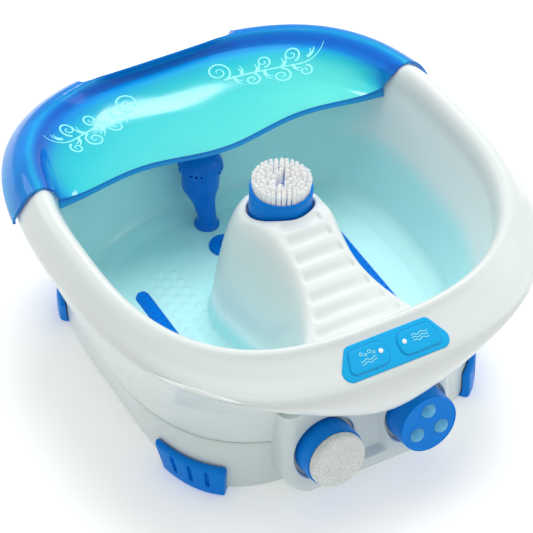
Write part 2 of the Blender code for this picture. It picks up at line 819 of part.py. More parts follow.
def rounded_outline(corners, radii, steps=4):
    """Round each corner of a polygon given in order."""
    points = []
    count = len(corners)
    for index in range(count):
        corner = Vector(corners[index])
        before = (Vector(corners[index - 1]) - corner).normalized()
        after = (Vector(corners[(index + 1) % count]) - corner).normalized()
        half_angle = before.angle(after) * 0.5
        reach = radii[index] / math.tan(half_angle)
        centre = corner + (before + after).normalized() * (radii[index] / math.sin(half_angle))
        first = corner + before * reach - centre
        last = corner + after * reach - centre
        for step in range(steps + 1):
            share = step / steps
            points.append(centre + first.lerp(last, share).normalized() * radii[index])
    return points


def slab(name, outline, low, high, colour, origin=None):
    """A plate on the panel's plane between two heights over its face."""
    shape = bmesh.new()
    bottom = [shape.verts.new(panel_spot(point.x, point.y, low)) for point in outline]
    top = [shape.verts.new(panel_spot(point.x, point.y, high)) for point in outline]
    loop_faces(shape, bottom, top)
    shape.faces.new(bottom)
    shape.faces.new(top)
    return finish_mesh(name, shape, colour, smooth=30.0, at=origin)


def panel_plate(name, colour, grow, low, high):
    half_v = PANEL_LENGTH * 0.5 + grow
    top = PANEL_TOP_HALF + grow
    bottom = PANEL_BOTTOM_HALF + grow
    right = ((bottom, -half_v), (bottom, -4.0), (top, half_v))
    left = ((-top, half_v), (-bottom, -4.0), (-bottom, -half_v))
    corners = left[2:] + right + left[:2]
    return slab(name, rounded_outline(corners, (8.0, 8.0, 4.0, 4.0, 4.0, 4.0)), low, high, colour)


def button_outline(side, grow):
    """A button is square at its outer end and rounder at its inner end."""
    inner = 5.0 - grow
    outer_low = 42.5 + grow
    outer_high = 36.5 + grow
    half_v = BUTTON_HALF_V + grow
    corners = [(inner, -half_v), (outer_low, -half_v), (outer_high, half_v), (inner, half_v)]
    radii = [6.0, 5.0, 4.0, 6.0]
    if side < 0.0:
        corners = [(-x, v) for x, v in reversed(corners)]
        radii.reverse()
    return rounded_outline(corners, radii)


def build_panel(bezel_colour, button_colour, lamp_colour, board_colour, metal):
    bezel = panel_plate("panel_bezel", bezel_colour, 0.0, -PANEL_SINK, PANEL_THICK - PANEL_SINK)
    cutters = []
    for side, label in ((-1.0, "heat"), (1.0, "jet")):
        cutters.append(slab("button_cutter", button_outline(side, 0.4), -6.0, 6.0, bezel_colour))
        spot = panel_spot(side * BUTTON_X, BUTTON_V, 0.0)
        outline = button_outline(side, 0.0)
        button = slab(label + "_button", outline, BUTTON_LOW, BUTTON_HIGH, button_colour, spot)
        stem_top = BUTTON_LOW + 0.5
        stem_at = panel_spot(side * BUTTON_X, BUTTON_V, (STEM_LOW + stem_top) * 0.5)
        stem_size = (5.0, 5.0, stem_top - STEM_LOW)
        combine(button, [block("stem_guide", stem_size, stem_at, button_colour, PANEL_TURN)])
        switch_at = panel_spot(side * BUTTON_X, BUTTON_V, -BOARD_DEPTH + 1.9)
        block(label + "_switch", (6.0, 6.0, 3.4), switch_at, metal, PANEL_TURN, 0.4)
        lamp_at = panel_spot(side * LAMP_X, BUTTON_V, 0.0)
        lens = ((0.0, BUTTON_LOW), (1.5, BUTTON_LOW), (1.5, BUTTON_HIGH + 0.1), (0.0, BUTTON_HIGH + 0.4))
        hole = ((0.0, -1.0), (1.8, -1.0), (1.8, 5.0), (0.0, 5.0))
        cut(button, [turned("lamp_cutter", hole, lamp_colour, at=lamp_at, tilt=PANEL_TURN, segments=12)])
        turned(label + "_lamp", lens, lamp_colour, at=lamp_at, tilt=PANEL_TURN, segments=12)
    cut(bezel, cutters)
    board_at = panel_spot(0.0, BUTTON_V, -BOARD_DEPTH - 0.8)
    block("control_board", (86.0, 20.0, 1.4), board_at, board_colour, PANEL_TURN)


# ---------------------------------------------------------------- water and air drives
def build_drive(prefix, wheel_name, at, radius, vanes, housing_colour, wheel_colour, motor_colour):
    """A shallow housing with its cover, a vaned wheel inside, and a motor standing on top."""
    place = (at[0], at[1], 0.0)
    base = DRIVE_BASE_Z
    rim = DRIVE_RIM_Z
    bore = radius - 2.0
    cup = ((0.0, base), (radius, base), (radius, rim), (bore, rim), (bore, base + 2.0), (0.0, base + 2.0))
    turned(prefix + "_housing", cup, housing_colour, at=place, segments=20)
    cover = ((BORE_R, rim + GAP), (radius, rim + GAP), (radius, rim + 3.0), (BORE_R, rim + 3.0))
    turned(prefix + "_cover", cover, housing_colour, at=place, segments=20)
    motor = (
        (0.0, MOTOR_TOP_Z),
        (radius * 0.5, MOTOR_TOP_Z),
        (radius * 0.55, MOTOR_TOP_Z - 2.0),
        (radius * 0.55, MOTOR_LOW_Z),
        (BORE_R, MOTOR_LOW_Z),
        (BORE_R, MOTOR_LOW_Z + 10.0),
        (0.0, MOTOR_LOW_Z + 10.0),
    )
    turned(prefix + "_motor", motor, motor_colour, at=place, segments=20)
    build_wheel(wheel_name, place, radius - 4.0, vanes, wheel_colour)


def build_wheel(name, place, tip, vanes, colour):
    """Radial vanes on a hub, one piece with the motor's shaft."""
    hub = tip * 0.35
    low = DRIVE_BASE_Z + 4.0
    high = DRIVE_RIM_Z - 3.0
    steps = vanes * 4
    shape = bmesh.new()
    rows = []
    heights = ((SHAFT_R, low - 1.0), (SHAFT_R, low), (None, low), (None, high), (SHAFT_R, high))
    for radius, z in heights + ((SHAFT_R, MOTOR_LOW_Z + 8.0),):
        row = []
        for step in range(steps):
            angle = 2.0 * math.pi * step / steps
            reach = radius if radius else (tip if step % 4 < 2 else hub)
            row.append(shape.verts.new((reach * math.cos(angle), reach * math.sin(angle), z)))
        rows.append(row)
    for first, second in zip(rows, rows[1:]):
        loop_faces(shape, first, second)
    shape.faces.new(rows[0])
    shape.faces.new(rows[-1])
    bmesh.ops.translate(shape, vec=place, verts=shape.verts)
    finish_mesh(name, shape, colour, smooth=30.0, at=place)


def build_jet(colour):
    """A two-way nozzle head on a round column that leans back as it rises."""
    top = JET_PARTING_Z
    column = (
        (JET_HOLE_R - GAP, FLOOR_Z - 2.4),
        (JET_HOLE_R - GAP, FLOOR_Z + GAP),
        (8.0, FLOOR_Z + GAP),
        (8.0, 60.0),
        (10.0, 72.0),
        (JET_HOUSING_R, 84.0),
        (JET_HOUSING_R, top),
    )
    segments = 20
    shape = bmesh.new()
    rings = []
    for radius, z in column:
        middle = mix(JET_FOOT_Y, JET_Y, smooth_step((z - 56.0) / 30.0))
        ring = []
        for step in range(segments):
            turn = 2.0 * math.pi * step / segments
            ring.append(shape.verts.new((radius * math.cos(turn), middle + radius * math.sin(turn), z)))
        rings.append(ring)
    for first, second in zip(rings, rings[1:]):
        loop_faces(shape, first, second)
    shape.faces.new(rings[0])
    shape.faces.new(rings[-1])
    finish_mesh("jet_column", shape, colour)
    place = (0.0, JET_Y, 0.0)
    low = top + GAP
    head = (
        (0.0, low),
        (JET_HEAD_R - 2.0, low),
        (JET_HEAD_R, low + 2.0),
        (JET_HEAD_R, low + 6.0),
        (JET_HEAD_R - 2.2, low + 12.0),
        (JET_HEAD_R - 8.0, low + 17.0),
        (0.0, low + 19.5),
    )
    dome = turned("jet_head", head, colour, at=place, segments=20)
    nozzles = []
    for side in (-1.0, 1.0):
        for fan_out in (-14.0, 0.0, 14.0):
            aim = math.radians(-90.0 + side * 40.0 + fan_out)
            start = Vector((math.cos(aim) * 12.0, JET_Y + math.sin(aim) * 12.0, low + 4.5))
            end = Vector((math.cos(aim) * 24.0, JET_Y + math.sin(aim) * 24.0, low + 4.5))
            nozzles.append(rod("nozzle_cutter", start, end, 1.1, colour, 6))
    cut(dome, nozzles)


def build_intake(grille_colour, hose_colour):
    x, y = INTAKE_AT
    profile = (
        (0.0, FLOOR_Z - 2.0),
        (INTAKE_HOLE_R - GAP, FLOOR_Z - 2.0),
        (INTAKE_HOLE_R - GAP, FLOOR_Z + GAP),
        (INTAKE_HOLE_R + 5.0, FLOOR_Z + GAP),
        (INTAKE_HOLE_R + 4.0, FLOOR_Z + 2.2),
        (INTAKE_HOLE_R - 2.0, FLOOR_Z + 3.0),
        (0.0, FLOOR_Z + 3.0),
    )
    grille = turned("intake_grille", profile, grille_colour, at=(x, y, 0.0), segments=20)
    slots = [(x, y)]
    for step in range(6):
        turn = math.pi * step / 3.0
        slots.append((x + 4.2 * math.cos(turn), y + 4.2 * math.sin(turn)))
    cut(grille, [rod("grille_cutter", (u, v, 44.0), (u, v, 58.0), 1.1, grille_colour, 6) for u, v in slots])


def build_hoses(rubber, wire):
    x, y = INTAKE_AT
    pump_y = PUMP_AT[1] + PUMP_R
    hose_z = 17.0
    under = FLOOR_Z - 2.4 - 4.0 * GAP
    route = (
        (x, y, under),
        (x, y, 38.0),
        (x, y - 10.0, 24.0),
        (x, y - 30.0, hose_z),
        (x, pump_y + GAP + 0.2, hose_z),
    )
    hose("intake_hose", route, 6.0, rubber)
    corner = PUMP_R * math.sqrt(0.5) + 3.2
    route = (
        (corner, PUMP_AT[1] + corner, hose_z),
        (32.0, 45.0, 14.0),
        (30.0, 80.0, 14.0),
        (12.0, JET_FOOT_Y - 6.0, 18.0),
        (0.0, JET_FOOT_Y, 34.0),
        (0.0, JET_FOOT_Y, under),
    )
    hose("jet_hose", route, 4.2, rubber)
    for side, label in ((-1.0, "left"), (1.0, "right")):
        route = (
            (side * (BLOWER_R + GAP + 0.2), BLOWER_AT[1], hose_z),
            (side * 50.0, BLOWER_AT[1] + 2.0, 15.0),
            (side * 80.0, BLOWER_AT[1] + 22.0, 17.0),
            (side * STRIP_X, AIR_FEED_Y - 2.0, 32.0),
            (side * STRIP_X, AIR_FEED_Y, under),
        )
        hose("air_hose_" + label, route, 3.4, rubber)
    motor_r = BLOWER_R * 0.55
    route = (
        (30.0, -176.0, 138.0),
        (30.0, -164.0, 120.0),
        (30.0, -148.0, 92.0),
        (30.0, -138.0, 60.0),
        (26.0, -112.0, 45.0),
        (motor_r + 1.4, BLOWER_AT[1] - 3.0, 48.0),
    )
    hose("panel_loom", route, 1.3, wire)
    gland_x, gland_z = GLAND_AT
    route = (
        (gland_x, body_outline(gland_z)[2] - 13.4, gland_z),
        (gland_x + 10.0, 108.0, 20.0),
        (62.0, 66.0, 15.0),
        (42.0, 25.0, 26.0),
        (PUMP_R * 0.55 + 3.2, PUMP_AT[1] + 3.0, 46.0),
    )
    hose("power_lead", route, 2.4, wire)


def build_floor_fittings(strip_colour, metal, sensor_colour):
    for side, label in ((-1.0, "left"), (1.0, "right")):
        strip_at = (side * STRIP_X, 0.0, FLOOR_Z + GAP + 1.6)
        strip = block("bubble_strip_" + label, (13.0, STRIP_LENGTH, 3.2), strip_at, strip_colour, None, 1.0)
        low = (side * STRIP_X, AIR_FEED_Y, FLOOR_Z - 2.0)
        high = (side * STRIP_X, AIR_FEED_Y, FLOOR_Z + 1.2)
        spigot = rod("spigot_guide", low, high, AIR_FEED_HOLE_R - GAP, strip_colour, 12)
        combine(strip, [spigot])
        heater_at = (side * 88.0, 28.0, FLOOR_Z - SHELL - 2.0)
        block("heater_" + label, (26.0, 84.0, 3.0), heater_at, metal, None, 0.5)
    cutout = ((0.0, 42.0), (7.0, 42.0), (7.0, 46.6), (0.0, 46.6))
    turned("thermal_cutout", cutout, sensor_colour, at=(64.0, 40.0, 0.0), segments=12)


# ---------------------------------------------------------------- feet pads, screws and gland
def build_fasteners(metal, rubber, gland_colour):
    for number, (x, y) in enumerate(SCREW_AT):
        screw = ((0.0, 0.8), (4.0, 0.8), (4.0, 2.6), (SCREW_R, 2.6), (SCREW_R, 20.0), (0.0, 22.0))
        turned("base_screw_%d" % (number + 1), screw, metal, at=(x, y, 0.0), segments=8)
    turn = Matrix.Rotation(math.radians(90.0), 4, "X")
    for number, (x, z) in enumerate(DOCK_SCREW_AT):
        head_y = -body_outline(z)[1] + PAN_WALL + 0.5
        screw = ((0.0, -2.2), (3.6, -2.2), (3.6, 0.0), (SCREW_R, 0.0), (SCREW_R, 13.0), (0.0, 14.5))
        turned("dock_screw_%d" % (number + 1), screw, metal, at=(x, head_y, z), tilt=turn, segments=8)
    for label, side_x, side_y in CORNERS:
        pad = ((0.0, 0.0), (7.0, 0.0), (8.0, 1.2), (8.0, PAN_BOTTOM_Z - GAP), (0.0, PAN_BOTTOM_Z - GAP))
        turned("pad_" + label, pad, rubber, at=(side_x * PAD_AT, side_y * PAD_AT, 0.0), segments=16)
    back = Matrix.Rotation(math.radians(-90.0), 4, "X")
    gland = (
        (3.0, -8.0),
        (GLAND_R, -8.0),
        (GLAND_R, 2.5),
        (GLAND_R + 3.4, 2.5),
        (GLAND_R + 2.6, 5.0),
        (GLAND_R - 0.4, 7.5),
        (3.0, 7.5),
    )
    x, z = GLAND_AT
    turned("cord_gland", gland, gland_colour, at=(x, body_outline(z)[2] - 3.4, z), tilt=back, segments=16)


# ---------------------------------------------------------------- assembly
def build():
    clear_scene()
    white = material("white_body", (0.86, 0.88, 0.87), 0.28)
    blue = material("azure_trim", (0.0, 0.22, 0.76), 0.3)
    deep = material("deep_blue", (0.0, 0.13, 0.68), 0.3)
    sky = material("panel_blue", (0.03, 0.47, 0.86), 0.32)
    clear = material("tinted_guard", (0.05, 0.72, 0.83), 0.1, alpha=0.7, transmission=0.4)
    lamp = material("lamp_white", (0.95, 0.97, 0.97), 0.2)
    pearl = material("ball_pearl", (0.45, 0.78, 0.95), 0.2, alpha=0.8)
    stone = material("pumice_grey", (0.55, 0.56, 0.53), 0.95)
    bristle = material("bristle_white", (0.93, 0.93, 0.93), 0.6)
    rubber = material("grey_rubber", (0.12, 0.12, 0.13), 0.8)
    black = material("black_plastic", (0.03, 0.03, 0.03), 0.5)
    steel = material("steel", (0.6, 0.6, 0.6), 0.35, metallic=1.0)
    board = material("board_green", (0.02, 0.2, 0.08), 0.5)
    build_tub(white)
    build_base_pan(white)
    build_skirt(white)
    build_dock(white)
    build_guard(clear)
    build_panel(sky, sky, lamp, board, black)
    build_cup("pumice_cup", -1.0, blue, False)
    build_pumice(stone)
    build_roller_head(blue, pearl)
    build_brush(blue, bristle)
    build_jet(deep)
    build_intake(deep, rubber)
    build_drive("pump", "pump_impeller", PUMP_AT, PUMP_R, 5, black, black, steel)
    build_drive("blower", "blower_fan", BLOWER_AT, BLOWER_R, 6, black, black, steel)
    build_hoses(rubber, black)
    build_floor_fittings(deep, steel, black)
    build_fasteners(steel, rubber, black)
    for label, side_x, side_y in CORNERS:
        build_foot("foot_" + label, side_x, side_y, blue)


build()
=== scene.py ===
import json
import random
from math import asin, atan2, cos, hypot, pi, radians, sin, sqrt, tan

import bpy
import numpy as np
from mathutils import Matrix, Vector
from mathutils.bvhtree import BVHTree


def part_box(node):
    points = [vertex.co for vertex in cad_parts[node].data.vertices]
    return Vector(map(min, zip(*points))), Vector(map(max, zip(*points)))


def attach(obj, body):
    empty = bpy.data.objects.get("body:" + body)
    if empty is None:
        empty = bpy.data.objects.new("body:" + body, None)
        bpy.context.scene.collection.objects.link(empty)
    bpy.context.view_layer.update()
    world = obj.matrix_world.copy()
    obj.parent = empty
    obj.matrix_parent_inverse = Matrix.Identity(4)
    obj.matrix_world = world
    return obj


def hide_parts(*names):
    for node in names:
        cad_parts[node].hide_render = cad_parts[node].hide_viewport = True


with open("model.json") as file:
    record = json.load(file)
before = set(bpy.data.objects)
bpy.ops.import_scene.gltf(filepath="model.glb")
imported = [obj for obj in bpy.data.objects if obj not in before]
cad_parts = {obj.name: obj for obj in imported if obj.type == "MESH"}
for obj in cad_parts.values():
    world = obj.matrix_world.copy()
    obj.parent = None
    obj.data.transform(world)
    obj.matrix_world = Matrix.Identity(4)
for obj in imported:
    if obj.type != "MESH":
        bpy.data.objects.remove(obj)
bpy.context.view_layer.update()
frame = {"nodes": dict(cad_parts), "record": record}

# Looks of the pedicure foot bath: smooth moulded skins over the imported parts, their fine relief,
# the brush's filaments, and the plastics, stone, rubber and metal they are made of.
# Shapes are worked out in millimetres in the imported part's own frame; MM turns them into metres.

MM = 0.001

# ---------- sizes shared with the CAD part
SHELL = 2.8
FLOOR_Z = 50.0
SEAM_Z = 52.0
PAN_BOTTOM_Z = 3.0

# lower body: height, half width, reach to the front, reach to the back, corner power
BODY_SECTION = np.array([
    (PAN_BOTTOM_Z, 144.0, 148.0, 163.0, 4.0),
    (SEAM_Z, 156.0, 153.0, 167.0, 2.70),
    (94.0, 172.0, 157.5, 172.0, 2.65),
    (125.0, 184.0, 177.0, 179.0, 2.65),
    (154.0, 195.0, 201.0, 186.0, 2.70),
])
# height of the skirt's top edge: along the sides, under the front apron and at the back
SKIRT_TOP_Z = (153.4, 88.6, 124.0)

# half width and height at the sides, front and height, back and height, corner power
TUB_SECTION = [
    (188.0, 157.6, 160.0, 91.0, 182.0, 128.4, 2.65),
    (192.0, 156.2, 186.0, 93.0, 187.0, 127.4, 2.65),
    (195.5, 156.0, 193.0, 97.5, 191.0, 129.0, 2.65),
    (197.4, 157.2, 201.5, 108.5, 194.0, 133.0, 2.65),
    (198.2, 159.2, 206.7, 122.0, 196.0, 138.0, 2.68),
    (198.4, 161.8, 207.5, 135.0, 197.0, 143.0, 2.72),
    (197.8, 165.2, 204.8, 145.8, 196.2, 146.2, 2.76),
    (195.6, 170.6, 199.2, 152.3, 194.0, 148.6, 2.80),
    (191.0, 177.5, 187.0, 159.2, 189.0, 151.0, 2.80),
    (185.0, 184.7, 175.0, 166.1, 183.0, 152.5, 2.80),
    (178.5, 187.5, 169.0, 171.3, 176.0, 153.0, 2.80),
    (172.5, 184.5, 163.8, 169.5, 168.5, 151.0, 2.80),
    (167.5, 174.0, 160.0, 161.0, 162.5, 145.0, 2.80),
    (163.0, 153.0, 157.0, 146.0, 158.0, 132.0, 2.80),
    (154.0, 105.0, 148.0, 105.0, 149.5, 102.0, 2.75),
    (145.5, 69.0, 138.5, 69.0, 139.5, 69.0, 2.70),
    (139.5, 57.0, 132.5, 57.0, 133.5, 57.0, 2.70),
    (125.0, FLOOR_Z, 118.0, FLOOR_Z, 119.0, FLOOR_Z, 2.70),
]
# how far the first rows follow the rim's own fall rather than the apron under it
RIM_PULL = (0.0, 0.0, 0.0, 0.0, 0.0, 0.3, 0.6, 0.85, 1.0)
APRON_HALF = 155.0
APRON_ROUND = 20.0
INNER_WALL_ROW = 11.3
HEIGHT_EASE = 2.5
DROP_START_Y = 68.0
DROP_END_Y = 128.0

# brush post and the ridge that falls from it to the rim
POST_Y = -12.0
POST_Z = 171.4
POST_TILT = -0.31
SOCKET_R = 27.7
SOCKET_DEPTH = 20.0
RIDGE_FOOT_Y = -146.0
RIDGE_FOOT_Z = 151.0
RIDGE_RUN = 103.0
RIDGE_CLIMB = 27.5
RIDGE_WAIST_Y = -75.0
RIDGE_WAIST_HALF = 21.5
FLOOR_FILLET = 16.0

# ribs moulded across the ridge: (distance from the back, half length)
RIB_GROOVES = (
    (-45.5, 15.0),
    (-59.5, 17.0),
    (-75.5, 18.5),
    (-91.5, 20.5),
    (-109.5, 24.5),
    (-125.5, 29.0),
    (-140.5, 35.0),
)
RIB_DEPTH = 3.0
RIB_WIDTH = 3.1
# massage bumps on the floor
BUMP_R = 3.6
BUMP_RISE = 1.7
BUMP_PITCH = 11.0

# guard flange: half width and height at the ends, back and height, power, notch depth line
GUARD_SECTION = [
    (201.8, 160.0, 214.24, 155.0, 2.78, 199.0),
    (201.0, 166.0, 213.94, 164.0, 2.80, 198.6),
    (193.5, 180.0, 208.0, 169.0, 2.80, 198.0),
    (186.0, 187.8, 203.5, 170.6, 2.80, 197.4),
    (178.5, 190.9, 199.6, 169.4, 2.80, 196.8),
    (171.0, 189.2, 197.4, 164.5, 2.80, 196.2),
    (162.8, 182.2, 194.5, 158.6, 2.80, 194.5),
]
GUARD_WALL = 2.4
GUARD_END_Y = 76.0
NOTCH_HALF = 75.0
NOTCH_RAMP = 2.6
TROUGH_SAG = 6.0
# front edge of the trough: half width, place and height, its wave, and the rise of its ends
GUARD_FRONT = (154.2, 83.0, 162.5)
GUARD_WAVE = (3.5, 1.5)
GUARD_END_RISE = 5.0
GUARD_COLUMNS = 420
TROUGH_ROWS = 60

# sloping panel as (y, z) of its two edges, its keys and lamps
PANEL_TOP = (-174.3, 166.5)
PANEL_BOTTOM = (-199.3, 152.2)
PANEL_TOP_HALF = 37.0
PANEL_BOTTOM_HALF = 48.0
PANEL_RISE = PANEL_TOP[1] - PANEL_BOTTOM[1]
PANEL_RUN = PANEL_TOP[0] - PANEL_BOTTOM[0]
PANEL_LENGTH = hypot(PANEL_RISE, PANEL_RUN)
PANEL_TURN = Matrix.Rotation(atan2(PANEL_RISE, PANEL_RUN), 4, "X")
BEZEL_LOW = -0.8
BEZEL_HIGH = 0.9
BUTTON_LOW = 0.4
BUTTON_HIGH = 2.2
BUTTON_HALF_V = 10.0
BUTTON_V = 1.5
LAMP_X = 10.7
LAMP_R = 2.1

# clip-in heads and the dock that holds them
CUP_X = 42.5
CUP_R = 26.0
CUP_FACE = (-187.1, 52.8)
CUP_TILT = radians(10.0)
CUP_LENGTH = 25.0
CUP_SHOWN = 20.0
CUP_TURN = Matrix.Rotation(radians(90.0) - CUP_TILT, 4, "X")
CUP_MOUTH_Y = CUP_FACE[0] + CUP_SHOWN * cos(CUP_TILT)
CUP_MOUTH_Z = CUP_FACE[1] - CUP_SHOWN * sin(CUP_TILT)
BALL_R = 7.3
DOCK_HALF = 79.0
DOCK_BOTTOM_Z = 4.0
DOCK_TOP_Z = 90.2

# brush head
BRUSH_R = 26.2
BRUSH_RIM_Z = 189.0
BRISTLE_Z = 199.6
# rings of tufts: radius, number of tufts
TUFT_RINGS = ((21.8, 33), (18.0, 27), (14.2, 21), (10.4, 15), (6.2, 7))
TUFT_FILAMENTS = 22
TUFT_R = 1.5
FILAMENT_R = 0.46
FILAMENT_SIDES = 5
BEAD_SIDES = 8

# jet nozzle and air strips
JET_FOOT_Y = 108.0
JET_Y = 121.0
JET_HEAD_R = 19.2
JET_HEAD_Z = 103.8
JET_DOME = 16.4
OUTLET_PITCH = 7.25
OUTLET_LINE = 2.6
OUTLET_R = 1.5
OUTLET_DEPTH = 1.5

# grip feet: bands round the body's corners between two angles
FOOT_HEIGHT = 28.0
FOOT_LENGTH = 58.0
FOOT_SLOT_DEPTH = 2.3
FOOT_REACH = 6.0
FOOT_TOE = 12.0
FOOT_GAP = 0.9
FOOT_STARTS = {-1: radians(18.0), 1: radians(23.0)}
FOOT_END = radians(52.4)
CORNERS = (("front_left", -1, -1), ("front_right", 1, -1), ("back_left", -1, 1), ("back_right", 1, 1))

# how finely the tub is divided
TUB_COLUMNS = 440
SECTION_STEPS = 9
FLOOR_ROWS = 140


# ---------- formulas
def mix(low, high, share):
    return low + (high - low) * share


def shares_of(steps):
    """Even shares from 0 to 1, both ends included."""
    return [step / steps for step in range(steps + 1)]


def smooth_step(share):
    share = np.clip(share, 0.0, 1.0)
    return share * share * (3.0 - 2.0 * share)


def smooth_max(one, two, reach):
    overlap = np.maximum(reach - np.abs(one - two), 0.0) / reach
    return np.maximum(one, two) + overlap * overlap * reach * 0.25


def smooth_min(one, two, reach):
    return -smooth_max(-one, -two, reach)


def hump(value, middle, width):
    """A soft hump that is 1 at the middle and fades out on both sides."""
    return np.exp(-(((value - middle) / width) ** 2))


def rounding(share):
    """A quarter circle's fall, from 1 at the edge to 0 where the share reaches 1."""
    past = max(1.0 - share, 0.0)
    return 1.0 - sqrt(max(1.0 - past * past, 0.0))


def signed_power(value, power):
    return np.sign(value) * np.abs(value) ** power


def outline(half_x, front, back, power, angle):
    """Rounded-rectangle outline: half_x wide, front deep in -Y, back deep in +Y."""
    x = half_x * signed_power(np.cos(angle), 2.0 / power)
    depth = np.where(np.sin(angle) > 0.0, back, front)
    return x, depth * signed_power(np.sin(angle), 2.0 / power)


def spread_angles(count, front_weight=1.3):
    """Angles evenly spread along the body's outline, closer together round the ridge."""
    fine = np.linspace(0.0, 2.0 * pi, 20001)
    x, y = outline(1.0, 1.0, 1.0, 2.75, fine)
    near_ridge = hump(x, 0.0, 0.5) * (y < 0.0)
    step = np.hypot(np.diff(x), np.diff(y)) * (1.0 + front_weight * near_ridge[1:])
    along = np.concatenate([[0.0], np.cumsum(step)])
    wanted = (np.arange(count) + 0.5) * along[-1] / count
    return np.interp(wanted, along, fine)


def spline_rows(rows, steps):
    """A smooth curve through rows of numbers, with that many steps between each pair."""
    data = np.array(rows)
    padded = np.vstack([2.0 * data[0] - data[1], data, 2.0 * data[-1] - data[-2]])
    made = []
    for index in range(len(data) - 1):
        before, start, end, after = padded[index:index + 4]
        for step in range(steps):
            t = step / steps
            square = (2.0 * before - 5.0 * start + 4.0 * end - after) * t * t
            cube = (3.0 * start - before - 3.0 * end + after) * t ** 3
            made.append(0.5 * (2.0 * start + (end - before) * t + square + cube))
    made.append(data[-1])
    return np.array(made)


# ---------- mesh tools
def box_mm(node):
    """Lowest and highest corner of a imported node, in millimetres."""
    return [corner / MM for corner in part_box(node)]


def points_of(x, y, z):
    """A row of points from its coordinates; one that is the same all along is a plain number."""
    return np.stack(np.broadcast_arrays(x, y, z), axis=1)


def new_object(name, points, faces, smooth=35.0):
    mesh = bpy.data.meshes.new(name)
    mesh.from_pydata((np.asarray(points, float) * MM).tolist(), [], faces)
    mesh.validate()
    made = bpy.data.objects.new(name, mesh)
    bpy.context.scene.collection.objects.link(made)
    shade(made, smooth)
    return made


def shade(item, smooth):
    item.data.shade_smooth()
    item.data.set_sharp_from_angle(angle=radians(smooth))


def grid_faces(rows, columns, wrap=True, wrap_rows=False):
    faces = []
    for row in range(rows if wrap_rows else rows - 1):
        here = row * columns
        below = (row + 1) % rows * columns
        for column in range(columns if wrap else columns - 1):
            after = (column + 1) % columns
            faces.append((here + column, here + after, below + after, below + column))
    return faces


def add_tube_faces(faces, first, rings, sides):
    """Faces of a closed tube over rings of points that start at index first."""
    for start in range(first, first + (rings - 1) * sides, sides):
        for side in range(sides):
            after = (side + 1) % sides
            faces.append((start + side, start + after, start + sides + after, start + sides + side))
    last = first + (rings - 1) * sides
    faces.append(tuple(reversed(range(first, first + sides))))
    faces.append(tuple(range(last, last + sides)))


def rows_object(name, rows, wrap=True, caps=(False, False), wrap_rows=False, smooth=35.0):
    """A skin over rows of points; each cap closes the first or last row with one face."""
    rows = np.asarray(rows, float)
    count, columns = rows.shape[:2]
    faces = grid_faces(count, columns, wrap, wrap_rows)
    if caps[0]:
        faces.append(tuple(reversed(range(columns))))
    if caps[1]:
        faces.append(tuple(range((count - 1) * columns, count * columns)))
    return new_object(name, rows.reshape(-1, 3), faces, smooth)


def lathe(name, profile, at=(0.0, 0.0, 0.0), turn=None, segments=96, relief=None, smooth=35.0):
    """Turn a profile of (radius, height) points, from the bottom up; relief(angle, row, radius,
    height) may move its points."""
    angle = np.arange(segments) * 2.0 * pi / segments
    rows = []
    for index, (radius, height) in enumerate(profile):
        ring_r = np.full(segments, max(radius, 0.01))
        ring_z = np.full(segments, float(height))
        if relief:
            ring_r, ring_z = relief(angle, index, ring_r, ring_z)
        rows.append(points_of(ring_r * np.cos(angle), ring_r * np.sin(angle), ring_z))
    points = np.array(rows).reshape(-1, 3)
    if turn:
        points = points @ np.array(turn.to_3x3()).T
    points = points + np.array(at)
    closed = profile[0][0] <= 0.01
    return rows_object(
        name,
        points.reshape(len(profile), segments, 3),
        caps=(closed, closed),
        wrap_rows=not closed,
        smooth=smooth,
    )


def soften(profile, radius, steps=5):
    """Round the inner corners of a profile by that radius, keeping its two ends."""
    made = [profile[0]]
    for index in range(1, len(profile) - 1):
        corner = Vector(profile[index])
        before = Vector(profile[index - 1]) - corner
        after = Vector(profile[index + 1]) - corner
        reach = min(radius, before.length * 0.45, after.length * 0.45)
        first = corner + before.normalized() * reach
        last = corner + after.normalized() * reach
        for t in shares_of(steps):
            point = first.lerp(corner, t).lerp(corner.lerp(last, t), t)
            made.append((point.x, point.y))
    made.append(profile[-1])
    return made


def apply_modifiers(item, smooth=35.0):
    graph = bpy.context.evaluated_depsgraph_get()
    graph.update()
    mesh = bpy.data.meshes.new_from_object(item.evaluated_get(graph))
    item.modifiers.clear()
    item.data = mesh
    shade(item, smooth)
    return item


def thicken(item, thickness, smooth):
    """Give a skin a wall of that thickness on its inner side."""
    wall = item.modifiers.new("wall", "SOLIDIFY")
    wall.thickness = thickness * MM
    wall.offset = -1.0
    apply_modifiers(item, smooth)


def store_values(item, name, values):
    """Keep one number for each point, for the material to read."""
    stored = item.data.attributes.new(name, "FLOAT", "POINT")
    stored.data.foreach_set("value", values.reshape(-1).astype(np.float32))


def cut(item, cutters, smooth=35.0):
    for cutter in cutters:
        boolean = item.modifiers.new(cutter.name, "BOOLEAN")
        boolean.operation = "DIFFERENCE"
        boolean.solver = "EXACT"
        boolean.object = cutter
    apply_modifiers(item, smooth)
    for cutter in cutters:
        bpy.data.objects.remove(cutter, do_unlink=True)
    return item


def rod(name, start, end, radius, segments=24):
    first = Vector(start)
    along = Vector(end) - first
    turn = along.to_track_quat("Z", "Y").to_matrix().to_4x4()
    profile = ((0.0, 0.0), (radius, 0.0), (radius, along.length), (0.0, along.length))
    return lathe(name, profile, start, turn, segments)


def dress(item, body, slot, look, *nodes):
    """Put a finished piece on its body, give it its material and hide the nodes it stands for."""
    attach(item, body)
    if nodes:
        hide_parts(*nodes)
    item.data.materials.clear()
    item.data.materials.append(look)
    return item


# ---------- materials
def start_material(name):
    made = bpy.data.materials.new(name)
    made.use_nodes = True
    return made, made.node_tree, made.node_tree.nodes["Principled BSDF"]


